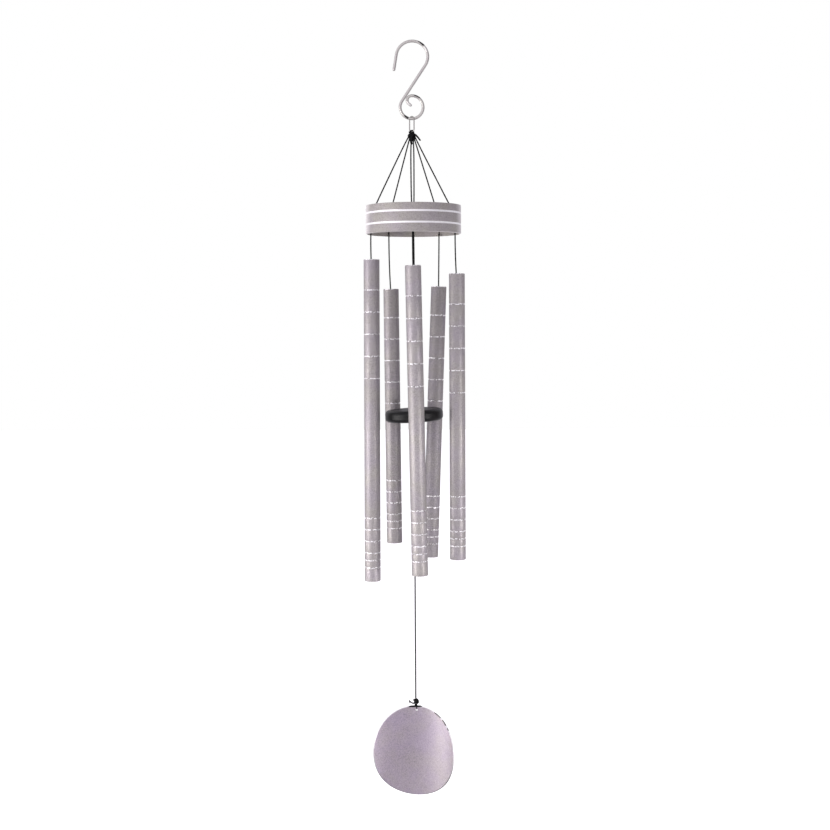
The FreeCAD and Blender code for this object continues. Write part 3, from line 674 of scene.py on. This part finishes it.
# ------------------------------------------------------------------ top knot
V_AX = Vector((-U.y, U.x, 0))
KS = Vector((sway(-116), 0, 0))
side_pts = []
for k in range(40):
    a = 2 * math.pi * k / 40
    side_pts.append(tuple(KS + V_AX * (2.15 * math.cos(a)) + Vector((0, 0, -111.55 + 2.15 * math.sin(a)))))
chunks = []
for off in (-1.05, 0.0, 1.05):
    loop = [tuple(Vector(p) + U * off) for p in side_pts]
    chunks.append(sweep(loop, 0.78, 20, 0.35, closed=True, braid=0.10, pitch=3.4))
for off in (-1.5, 0.0, 1.5):
    for sgn in (-1, 1):
        chunks.append(sweep(smooth_path([KS + V_AX * (2.15 * sgn) + U * off * 0.7 + Vector((0, 0, -112.1)),
                                         KS + V_AX * (2.5 * sgn) + U * off + Vector((0, 0, -114.2)),
                                         KS + V_AX * (1.7 * sgn) + U * off * 1.3 + Vector((0, 0, -117.0))], 10),
                            0.80, 18, 0.35, braid=0.10, pitch=3.4))
core = trefoil((KS.x - 0.1, 0.0, -117.3), 2.45, 1.25, 2.5, 0.4, (0.05, -0.12, 0))
for p in offset_bundle(core, 3, 3, 0.82, twist=1):
    chunks.append(sweep(p, 0.80, 18, 0.45, closed=True, braid=0.11, pitch=3.4))
core = trefoil((KS.x - 0.2, 0.2, -115.7), 1.75, 0.95, 1.3, 1.3, (0.3, 0.25, 0))
for p in offset_bundle(core, 2, 2, 0.6, twist=1):
    chunks.append(sweep(p, 0.72, 16, 0.45, closed=True, braid=0.11, pitch=3.4))
for k in range(6):
    a = math.radians(20 + 60 * k)
    chunks.append(sweep(smooth_path([(KS.x + 0.9 * math.cos(a), 0.9 * math.sin(a), -114.3),
                                     (KS.x + 1.9 * math.cos(a), 1.9 * math.sin(a), -117.4),
                                     (KS.x + 2.5 * math.cos(a), 2.0 * math.sin(a), -122.0)], 10),
                        0.80, 16, 0.45, braid=0.10, pitch=3.4))
tails = [([(1.9, -0.7, -114.1), (4.2, -1.2, -114.6), (7.2, -1.3, -117.6), (10.2, -0.9, -121.6)], 1.0),
         ([(2.1, -1.6, -114.4), (4.8, -2.2, -116.0), (7.3, -2.2, -118.2), (8.9, -2.0, -120.2)], 0.95),
         ([(0.4, -1.9, -118.4), (-0.2, -2.6, -121.4), (0.2, -2.8, -126.4)], 0.95),
         ([(-1.0, 0.8, -118.6), (-1.6, 1.6, -121.4), (-1.5, 2.2, -124.4)], 0.8),
         ([(-1.6, -0.8, -113.6), (-3.0, -1.0, -112.2), (-3.4, -1.2, -111.4)], 0.7)]
for t, r in tails:
    chunks.append(sweep(smooth_path([(x + KS.x, y, z) for x, y, z in t], 12), r, 18, 0.4, braid=0.11, pitch=3.4))
knot = swept("gathered_knot", chunks, M_CORD)
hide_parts("top_knot")
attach(knot, "knot")

# ------------------------------------------------------------------ upper cords
APEX = Vector((0, 0, -109.3))
CORD_R = 0.84


def stopper(cx, cy, cz, r=2.2, spin=0.0):
    """Small overhand knot, about r in size."""
    k = trefoil((cx, cy, cz), r * 0.42, r * 0.24, 2.1, spin)
    return sweep(k, r * 0.34, 16, 0.3, closed=True, braid=0.10, pitch=2.6)


def upper_cord(name, top, seat, node_name, bow=0.0):
    """bow = sideways slack (mm) at the middle of the cord's run."""
    seat_top = Vector((seat[0], seat[1], WEB_TOP + 1.2))
    pts = []
    for k in range(60):
        q = top.lerp(seat_top, k / 60)
        q.x += bow * (1 - (2 * k / 60 - 1) ** 4) + sway(q.z)
        pts.append(tuple(q))
    pts += [tuple(v) for v in smooth_path([seat_top, Vector((seat[0], seat[1], WEB_TOP - 0.3)),
                                            Vector((seat[0], seat[1], WEB_BOT - 1.2))], 6)]
    parts = [sweep(pts, CORD_R, 20, 0.42, braid=0.10, pitch=3.6, round_ends=True),
             stopper(seat[0], seat[1], KNOT_SEAT, 2.15, seat[0])]
    ob = swept(name, parts, M_CORD)
    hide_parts(node_name)
    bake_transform(ob)
    return ob


for i in range(1, 6):
    x, y = SEAT[i]
    seat_v = Vector((x, y, -216.9))
    top_v = APEX.lerp(seat_v, (116.2 - 109.3) / (216.9 - 109.3))
    upper_cord("upper_cord_%d" % i, top_v, (x, y), "suspension_cord_%d" % i,
               {1: -0.8, 2: 0.0, 3: -1.4, 4: 0.1, 5: -0.4}[i])
upper_cord("upper_centre_cord", Vector((1.7, -0.2, -118.6)), (0.0, 0.0), "centre_cord", 0.9)


# ------------------------------------------------------------------ canopy drum
def groove_profile(outer, top, bottom, cuts, width, depth, rnd, inner, mat_body, mat_cut, mat_rim, mat_bore, rim_bright,
                   dark_low=False, rim_h=0.0):
    """Closed (r, z) profile, clockwise from the inner top edge; returns profile and segment materials."""
    prof, mats = [], []

    def add(r, z, m):
        prof.append((r, z))
        mats.append(m)
    n = 5
    for k in range(n + 1):                      # inner top edge
        a = math.pi - (math.pi / 2) * k / n
        add(inner + rim_bright + rim_bright * math.cos(a), top - rim_bright + rim_bright * math.sin(a), mat_rim)
    for k in range(n + 1):                      # outer top edge
        a = math.pi / 2 - (math.pi / 2) * k / n
        add(outer - rnd + rnd * math.cos(a), top - rnd + rnd * math.sin(a), mat_rim if k < 2 or rim_h else mat_body)
    if rim_h:                                   # bright saw-cut lip of a tube
        add(outer, top - rnd - rim_h, mat_body)
    for z in sorted(cuts, reverse=True):
        add(outer, z + width / 2 + 0.10, mat_body)
        add(outer - 0.03, z + width / 2, mat_cut)
        add(outer - depth * 0.85, z + width * 0.12, mat_cut)
        add(outer - depth, z, mat_cut)
        add(outer - depth * 0.85, z - width * 0.12, mat_cut)
        add(outer - 0.03, z - width / 2, mat_body)
        add(outer, z - width / 2 - 0.10, mat_body)
    for k in range(n + 1):
        a = -(math.pi / 2) * k / n
        add(outer - rnd + rnd * math.cos(a), bottom + rnd + rnd * math.sin(a), mat_body if k < 4 else mat_rim)
    for k in range(n + 1):
        a = -math.pi / 2 - (math.pi / 2) * k / n
        mat_low = mat_bore if dark_low else mat_rim
        add(inner + rim_bright + rim_bright * math.cos(a), bottom + rim_bright + rim_bright * math.sin(a), mat_low if k < n else mat_bore)
    return prof, mats


prof, pm = groove_profile(RING_R, RING_TOP, RING_BOT, [RING_TOP - 10.8, RING_TOP - 24.7], 2.3, 0.42, 0.5,
                          RING_R - RING_WALL, 0, 1, 0, 2, 0.35, True)
drum = lathe("canopy_drum", prof, pm, [M_CANOPY, M_BAND, M_INSIDE], 256)
for v in drum.data.vertices:                    # worn top edge, eased lower edge, and the drum hangs a touch off level
    zz = v.co.z / MM
    if zz > RING_TOP - 2.0:
        v.co.z -= 0.8 * MM
    elif zz < RING_BOT + 1.2 and math.hypot(v.co.x, v.co.y) > (RING_R - 0.7) * MM:
        v.co.z += 0.65 * MM
    v.co.z -= v.co.y * 0.0073
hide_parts("canopy_ring")
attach(drum, "canopy")

# web plate with six cord holes
cu = bpy.data.curves.new("web_curve", "CURVE")
cu.dimensions = "2D"
cu.fill_mode = "BOTH"


def circle_spline(cx, cy, r, n):
    sp = cu.splines.new("POLY")
    sp.points.add(n - 1)
    for k in range(n):
        a = 2 * math.pi * k / n
        sp.points[k].co = ((cx + r * math.cos(a)) * MM, (cy + r * math.sin(a)) * MM, 0, 1)
    sp.use_cyclic_u = True


circle_spline(0, 0, 57.0, 192)
circle_spline(0, 0, 1.35, 28)
for i in range(1, 6):
    circle_spline(SEAT[i][0], SEAT[i][1], 1.3, 28)
cu.extrude = (WEB_TOP - WEB_BOT) / 2 * MM - 0.00025
cu.bevel_depth = 0.00025
cu.bevel_resolution = 2
cu.offset = -0.00025
web_src = bpy.data.objects.new("web_src", cu)
bpy.context.scene.collection.objects.link(web_src)
dg = bpy.context.evaluated_depsgraph_get()
web_me = bpy.data.meshes.new_from_object(web_src.evaluated_get(dg))
bpy.data.objects.remove(web_src)
for v in web_me.vertices:
    v.co.z += (WEB_TOP + WEB_BOT) / 2 * MM
bm = bmesh.new()
bm.from_mesh(web_me)
bmesh.ops.remove_doubles(bm, verts=bm.verts, dist=1e-6)
bmesh.ops.recalc_face_normals(bm, faces=bm.faces)
bm.to_mesh(web_me)
bm.free()
web_me.materials.clear()
web_me.materials.append(M_CANOPY)
web_me.set_sharp_from_angle(angle=math.radians(32))
web = bpy.data.objects.new("canopy_web_plate", web_me)
bpy.context.scene.collection.objects.link(web)
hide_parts("canopy_web")
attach(web, "canopy")

# ------------------------------------------------------------------ tubes, their cords and pins
RINGS_TOP = [37.2 + 27.2 * k for k in range(5)]
RINGS_BOT = [17.0, 26.1, 35.2, 49.4, 63.6, 77.8]


def tube(i):
    x, y = SEAT[i]
    L, top = LENS[i], TOPS[i]
    cuts = [-c - UP_CUTS[i] for c in RINGS_TOP] + [-(L - c - LOW_CUTS[i]) for c in RINGS_BOT]
    prof, pm = groove_profile(TUBE_R, 0.0, -L, cuts, 1.6, 0.35, 0.45, TUBE_R - WALL, 0, 1, 1, 2, 0.3,
                              rim_h=0.4)
    a = math.radians(LEAN[i])
    up = Vector((-math.sin(a), 0, math.cos(a)))
    origin = Vector(PIN[i]) + up * 14.0
    # rear tubes 2 and 4 take the darker painted-shade copies of the paint
    ob = lathe("chime_tube_%d" % i, prof, pm, [M_PAINT_SHADED.get(i, M_PAINT), M_CUT, M_BORE], 96, origin, up)
    for v in ob.data.vertices:                  # hand-held turning: each cut wanders a little round the tube
        q = v.co / MM - origin
        h = q.dot(up)
        rad = q - up * h
        if h > -2.0:                            # saw-cut end, a little proud
            v.co += up * ({1: 0.5, 2: 0.3, 3: 0.5, 4: 0.0, 5: 0.5}[i] * MM)
        if rad.length < TUBE_R - 0.6:
            continue
        for k, cz in enumerate(cuts):
            w = 1.0 - max(0.0, abs(h - cz) - 0.95) / 0.8
            if w > 0.0:
                th = math.atan2(rad.y, rad.x)
                wave = 0.6 * math.sin(8 * th + 1.9 * k + i) + 0.4 * math.sin(13 * th + 2.7 * k + 0.8 * i)
                v.co += up * (0.42 * min(w, 1.0) * wave * MM)
                break
    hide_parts("tube_%d" % i)
    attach(ob, "tube_%d_body" % i)
    # cord: from the stopper knot to a loop round the pin
    ax = Vector(J["tube_%d_rock" % i]["axis"]).normalized()
    tan = Vector((-ax.y, ax.x, 0)).normalized()
    pz = PIN[i]
    loop = []
    for k in range(33):
        t = math.radians(90 + 360 * k / 32)
        loop.append(tuple(pz + tan * (2.1 * math.cos(t)) + Vector((0, 0, 2.1 * math.sin(t)))))
    run = [Vector((x, y, PIVOT)).lerp(pz + Vector((0, 0, 2.0)), k / 30) for k in range(1, 31)]
    slack = {1: -0.7, 2: -0.9, 3: -0.35, 4: 0.1, 5: -0.8}[i]
    run = [(q.x + slack * (1 - (2 * (k + 1) / 30 - 1) ** 2), q.y, q.z) for k, q in enumerate(run)]
    parts = [sweep([(x, y, KNOT_SEAT - 0.4), (x, y, PIVOT)] + run,
                   CORD_R, 20, 0.42, braid=0.10, pitch=3.6, round_ends=False),
             sweep(loop[:-1], 0.72, 18, 0.35, closed=True, braid=0.10, pitch=3.0),
             stopper(pz.x, pz.y, pz.z + 5.2, 2.3, 1.0 + i)]
    c = swept("lower_cord_%d" % i, parts, M_CORD)
    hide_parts("tube_cord_%d" % i)
    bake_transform(c)
    # pin
    pin = lathe("cross_pin_%d" % i, [(0.0, -9.55), (1.0, -9.55), (1.2, -9.35), (1.2, 9.35), (1.0, 9.55), (0.0, 9.55)],
                [0] * 5, [M_PIN], 32, pz, ax, closed=False)
    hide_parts("tube_pin_%d" % i)
    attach(pin, "tube_%d_body" % i)


for i in range(1, 6):
    tube(i)

# ------------------------------------------------------------------ striker and its cord
SC = Vector([c * 1000 for c in J["striker_tilt"]["pos_m"]])
t3 = math.radians(3.0)
s_up = Vector((-math.sin(t3), 0, math.cos(t3)))
R_S, H_S, RB, RH = 36.0, 14.5 / 2, 5.0, 2.4
sp, sm = [], []
for k in range(7):                                  # hole edge, upper
    a = math.pi - (math.pi / 2) * k / 6
    sp.append((RH + 0.6 + 0.6 * math.cos(a), H_S - 0.6 + 0.6 * math.sin(a)))
for r in (8.0, 14.0, 20.0, 26.0):
    sp.append((r, H_S + 0.12 * math.sin(r * 0.4)))
for k in range(13):
    a = math.pi / 2 - (math.pi / 2) * k / 12
    sp.append((R_S - RB + RB * math.cos(a), H_S - RB + RB * math.sin(a)))
for k in range(13):
    a = -(math.pi / 2) * k / 12
    sp.append((R_S - RB + RB * math.cos(a), -H_S + RB + RB * math.sin(a)))
for r in (26.0, 20.0, 14.0, 8.0):
    sp.append((r, -H_S))
for k in range(7):
    a = -math.pi / 2 - (math.pi / 2) * k / 6
    sp.append((RH + 0.6 + 0.6 * math.cos(a), -H_S + 0.6 + 0.6 * math.sin(a)))
puck = lathe("striker_puck", sp, [0] * len(sp), [M_STRIKER], 192, SC, s_up)
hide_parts("striker")
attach(puck, "striker_disc")

s_run = [(0.75 * math.sin(math.pi * min(1.0, k / 40)) ** 0.7, 0, PIVOT + (-472.5 - PIVOT) * k / 80) for k in range(1, 81)]
s_parts = [sweep([(0, 0, KNOT_SEAT - 0.4), (0, 0, PIVOT)] + s_run,
                 CORD_R, 20, 0.42, braid=0.10, pitch=3.6, round_ends=False),
           sweep(trefoil((0, 0, -474.2), 1.25, 0.72, 2.2, 0.7), 0.85, 18, 0.35, closed=True, braid=0.10, pitch=3.2),
           sweep(smooth_path([(0.6, -0.6, -474.6), (2.6, -1.6, -475.6), (4.4, -2.0, -478.6)], 10), 0.72, 18, 0.4,
                 braid=0.10, pitch=3.4)]
s_cord = swept("striker_line_cord", s_parts, M_CORD)
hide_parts("striker_cord")
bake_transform(s_cord)

# ------------------------------------------------------------------ sail and its cord
sz = J["sail_swing"]["pos_m"][2] * 1000
ex = J["sail_spin"]["pos_m"][0] * 1000
ez = J["sail_spin"]["pos_m"][2] * 1000
line_parts = [sweep([(0, 0, sz + 2.2)] + [(0.8 * k / 90, 0, sz + (ez - 1.0 - sz) * k / 90) for k in range(91)],
                    0.90, 14, 0.42, braid=0.10, pitch=2.6, round_ends=False)]
sail_line = swept("sail_line_cord", line_parts, M_LINE)
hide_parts("sail_cord")
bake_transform(sail_line)

kx = ex - 0.95
k_parts = []
for p in offset_bundle(trefoil((kx + 0.1, 0.0, -819.3), 1.85, 1.0, 2.0, 0.2), 2, 3, 0.55, twist=1):
    k_parts.append(sweep(p, 0.66, 16, 0.32, closed=True, braid=0.10, pitch=2.6))
for k in range(5):                                  # wraps drawn together below the ball
    a = 2 * math.pi * k / 5
    k_parts.append(sweep(smooth_path([(kx + 1.9 * math.cos(a), 1.9 * math.sin(a), -820.6),
                                      (kx + 1.1 * math.cos(a), 1.1 * math.sin(a), -823.2),
                                      (kx + 1.5 * math.cos(a), 1.2 * math.sin(a), -825.3)], 8), 0.66, 14, 0.3,
                         braid=0.10, pitch=2.6))
hole_z = -829.9
for side, x0 in ((-1.55, 0.2), (1.55, -0.3)):        # loop held tight against both faces of the plate
    k_parts.append(sweep(smooth_path([(kx + x0, side * 0.5, -824.6), (ex + x0 * 0.5 - 0.4, side, -825.9),
                                      (ex - 0.2, side, -828.0), (ex - 0.1, side * 0.75, -829.0),
                                      (ex, 0.0, -829.3)], 8), 0.5, 14, 0.3, braid=0.10, pitch=2.4))
wrap = []
for k in range(25):                                 # painted shade: a tapered dark band of cord laid along the plate's top edge stands in for the dark line seen there
    t = k / 24
    wx = -8.6 + 15.4 * t
    wrap.append((ex + wx - 0.6, -0.2, -825.5 - (wx + 0.6) ** 2 / 260.0))
for oy, r in ((-1.0, 0.95), (0.1, 0.80), (1.1, 0.80)):
    k_parts.append(sweep([(x, y + oy, z) for x, y, z in wrap], r, 14, 0.4, braid=0.08, pitch=2.4,
                         taper=lambda t: 0.35 + 0.65 * math.sin(math.pi * t) ** 0.45))
k_parts.append(sweep(smooth_path([(kx - 1.0, -1.0, -821.4), (kx - 3.4, -1.4, -821.6), (kx - 5.8, -1.3, -820.4),
                                  (kx - 8.3, -0.9, -818.6)], 10), 0.78, 16, 0.3, braid=0.10, pitch=2.6))
k_parts.append(sweep(smooth_path([(kx - 5.8, -1.3, -820.4), (kx - 7.0, -1.5, -820.2), (kx - 8.2, -1.5, -820.3)], 8), 0.55, 14,
                     0.3, braid=0.10, pitch=2.6))
sail_knot = swept("sail_loop_knot", k_parts, M_LINE)
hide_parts("sail_knot")
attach(sail_knot, "wind_sail")

RM, R_D, TH, BV = 79.4, 55.0, 2.0, 0.7
HOLE = (0.0, 50.3)
ry, rz = math.radians(1.0), math.radians(-11.0)
ROT = Matrix.Rotation(rz, 3, "Z") @ Matrix.Rotation(ry, 3, "Y")
HW = Vector((ex, 0, hole_z))


def plate_point(fx, fz, off):
    """Flat-pattern point (fx, fz) rolled to the plate's curve, off = distance through its thickness."""
    rho = RM + off
    p = Vector((rho * math.sin(fx / RM), rho * math.cos(fx / RM) - RM, fz))
    return HW + ROT @ (p - Vector((0, 0, HOLE[1])))


# ends of a painted dark reflection along the plate's rim, between angles a0 and a1
def rim_reflection(a0, a1, r, soft):
    ends = [plate_point(R_D * math.cos(math.radians(a)), R_D * math.sin(math.radians(a)), -TH / 2) for a in (a0, a1)]
    return (tuple(ends[0]), tuple(ends[1]), r, soft)


# sail rim: painted dark reflections at set places near the top, and painted shade darkening the rim towards the bottom
M_EDGE = wire_metal("cut_rim_metal", (0.86, 0.85, 0.85), 0.30,
                    [rim_reflection(63, 59, 1.2, 0.6), rim_reflection(59, 55, 1.2, 0.6), rim_reflection(49, 46, 1.0, 0.5),
                     rim_reflection(46, 42.5, 1.0, 0.5), rim_reflection(37, 35, 0.7, 0.5)], edge=0.7, shade_by_height=(-885, -918, 0.10))
rows = []           # (t, inset from outer or hole edge, side offset, material)
NT = 288
steps = [((k / 26) ** 0.85) for k in range(27)]
prof_rows = []
for s in steps:
    prof_rows.append(("f", s, -TH / 2))
prof_rows += [("e", 1.0, -TH / 2 + BV), ("e", 1.0, TH / 2 - BV)]
for s in reversed(steps):
    prof_rows.append(("f", s, TH / 2))
prof_rows += [("h", 0.0, TH / 2 - BV), ("h", 0.0, -TH / 2 + BV)]
verts, faces, idx = [], [], []
for kind, s, off in prof_rows:
    for k in range(NT):
        a = 2 * math.pi * k / NT
        dx, dz = math.cos(a), math.sin(a)
        r_out = R_D - (BV if kind == "f" else 0.0)
        b = HOLE[0] * dx + HOLE[1] * dz
        far = -b + math.sqrt(b * b - (HOLE[0] ** 2 + HOLE[1] ** 2 - r_out ** 2))
        near = 1.2 + (0.15 if kind == "f" else 0.0)
        d = near + (far - near) * s
        fx, fz = HOLE[0] + dx * d, HOLE[1] + dz * d
        verts.append(plate_point(fx, fz, off))
m = len(prof_rows)
for j in range(m):
    j2 = (j + 1) % m
    ka, kb = prof_rows[j][0], prof_rows[j2][0]
    mat = 0 if ka == kb == "f" and prof_rows[j][2] == prof_rows[j2][2] else 1
    for k in range(NT):
        k2 = (k + 1) % NT
        faces.append((j * NT + k, j * NT + k2, j2 * NT + k2, j2 * NT + k))
        idx.append(mat)
sail = make_mesh("wind_sail_disc", verts, faces, [M_SAIL, M_EDGE], idx, 30.0)
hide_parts("sail")
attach(sail, "wind_sail")

# ------------------------------------------------------------------ floor, light, camera
floor_me = bpy.data.meshes.new("floor")
floor_me.from_pydata([(-6, -6, -1.0), (6, -6, -1.0), (6, 6, -1.0), (-6, 6, -1.0)], [], [(0, 1, 2, 3)])
floor = bpy.data.objects.new("floor", floor_me)
bpy.context.scene.collection.objects.link(floor)
mf, ntf, bf = new_mat("pale_floor")
cf = coords(ntf)
nf = noise(ntf, cf, 3.0, 3.0, 0.5)
rf = ramp(ntf, nf.outputs[0], [(0.3, (0.90, 0.90, 0.90)), (0.7, (0.93, 0.93, 0.93))])
ntf.links.new(rf.outputs[0], bf.inputs["Base Color"])
bf.inputs["Roughness"].default_value = 0.9
lpf = ntf.nodes.new("ShaderNodeLightPath")
ntf.links.new(rf.outputs[0], bf.inputs["Emission Color"])
ntf.links.new(math_node(ntf, "MULTIPLY", lpf.outputs["Is Camera Ray"], 0.60), bf.inputs["Emission Strength"])
out_f = next(n for n in ntf.nodes if n.type == "OUTPUT_MATERIAL")
under = math_node(ntf, "MULTIPLY", ntf.nodes.new("ShaderNodeNewGeometry").outputs["Backfacing"], lpf.outputs["Is Camera Ray"])
clear = ntf.nodes.new("ShaderNodeBsdfTransparent")          # the floor hides nothing seen from below
see = ntf.nodes.new("ShaderNodeMixShader")
ntf.links.new(under, see.inputs[0])
ntf.links.new(bf.outputs[0], see.inputs[1])
ntf.links.new(clear.outputs[0], see.inputs[2])
ntf.links.new(see.outputs[0], out_f.inputs["Surface"])
floor_me.materials.append(mf)

world = bpy.data.worlds.new("studio")
bpy.context.scene.world = world
world.use_nodes = True
wt = world.node_tree
wt.nodes.clear()
wo = wt.nodes.new("ShaderNodeOutputWorld")
lp_ = wt.nodes.new("ShaderNodeLightPath")
bg_cam = wt.nodes.new("ShaderNodeBackground")
bg_cam.inputs[0].default_value = (1, 1, 1, 1)
bg_cam.inputs[1].default_value = 1.0
tc = wt.nodes.new("ShaderNodeTexCoord")
sep = wt.nodes.new("ShaderNodeSeparateXYZ")
wt.links.new(tc.outputs["Generated"], sep.inputs[0])


def wmath(op, a, b=None, clamp=False):
    return math_node(wt, op, a, b, clamp)


X, Y, Z = sep.outputs[0], sep.outputs[1], sep.outputs[2]
# brightness of the studio round the horizon: 0 = behind, 0.25 = left, 0.5 = front, 0.75 = right
turn = wmath("ADD", wmath("DIVIDE", wmath("ARCTAN2", X, wmath("MULTIPLY", Y, -1.0)), 2 * math.pi), 0.5)
ROUND = [(0.0, 0.50), (0.12, 0.98), (0.24, 1.08), (0.36, 1.25), (0.46, 1.16), (0.54, 0.88), (0.62, 0.42),
         (0.70, 0.34), (0.78, 0.60), (0.88, 0.82), (1.0, 0.50)]
val = ramp(wt, turn, [(a, (b, b, b)) for a, b in ROUND]).outputs[0]
high = wmath("MAXIMUM", wmath("MULTIPLY", wmath("SUBTRACT", Z, 0.55), 2.2), 0.0, True)
val = wmath("ADD", wmath("MULTIPLY", val, wmath("SUBTRACT", 1.0, high)), wmath("MULTIPLY", high, 0.75))
bg = wt.nodes.new("ShaderNodeBackground")
bg.inputs[0].default_value = (0.99, 0.952, 1.03, 1)
wt.links.new(val, bg.inputs[1])
mx = wt.nodes.new("ShaderNodeMixShader")
wt.links.new(lp_.outputs["Is Camera Ray"], mx.inputs[0])
wt.links.new(bg.outputs[0], mx.inputs[1])
wt.links.new(bg_cam.outputs[0], mx.inputs[2])
wt.links.new(mx.outputs[0], wo.inputs[0])


def area(name, loc, target, size, power, col=(1, 1, 1), spread=180):
    li = bpy.data.lights.new(name, "AREA")
    li.shape = "RECTANGLE"
    li.size, li.size_y = size
    li.energy = power
    li.color = col
    li.spread = math.radians(spread)
    ob = bpy.data.objects.new(name, li)
    ob.location = loc
    ob.rotation_euler = (Vector(target) - Vector(loc)).to_track_quat("-Z", "Y").to_euler()
    bpy.context.scene.collection.objects.link(ob)
    return ob


area("key_left", (-1.75, -0.75, -0.74), (0, 0, -0.70), (2.0, 0.56), 4.9, (1.0, 0.98, 0.965), 60)
area("fill_right", (1.37, -1.15, -0.64), (0, 0, -0.61), (0.6, 0.30), 0.46, (1.0, 0.98, 0.965), 26)
area("sail_kick", (-1.66, -0.56, -0.90), (0.01, 0, -0.89), (1.2, 0.25), 0.33, (1.0, 1.08, 0.80), 18)
area("sail_rim", (1.56, -0.78, -0.93), (-0.02, 0, -0.90), (0.4, 0.22), 0.19, (1.0, 0.97, 1.0), 14)

cam_data = bpy.data.cameras.new("camera")
cam = bpy.data.objects.new("camera", cam_data)
bpy.context.scene.collection.objects.link(cam)
cam_data.sensor_width = 36.0
cam_data.lens = 1396.64 * 36 / 830
cam_data.clip_start, cam_data.clip_end = 0.05, 50
YAW, ROLL = math.radians(0.3469), math.radians(-0.2176)
CAM_AT = (-0.0089, -1.7374, -0.3314)
fwd = Vector((math.sin(YAW), math.cos(YAW), 0))
rgt = Vector((math.cos(YAW), -math.sin(YAW), 0))
upv = Vector((0, 0, 1))
r2 = rgt * math.cos(ROLL) + upv * math.sin(ROLL)
u2 = -rgt * math.sin(ROLL) + upv * math.cos(ROLL)
cam.matrix_world = Matrix(((r2.x, u2.x, -fwd.x, CAM_AT[0]), (r2.y, u2.y, -fwd.y, CAM_AT[1]),
                           (r2.z, u2.z, -fwd.z, CAM_AT[2]), (0, 0, 0, 1)))
# rising front, as on a view camera: on only where the main camera stands
drv = cam_data.driver_add("shift_y").driver
drv.type = "SCRIPTED"
var = drv.variables.new()
var.name = "y"
var.type = "SINGLE_PROP"
var.targets[0].id_type = "OBJECT"
var.targets[0].id = cam
var.targets[0].data_path = "location[1]"
drv.expression = "-0.12783 * (y > -1.7375) * (y < -1.7373)"
bpy.context.scene.camera = cam
bpy.context.scene.view_settings.view_transform = "Standard"
bpy.context.scene.view_settings.look = "None"
bpy.context.view_layer.update()
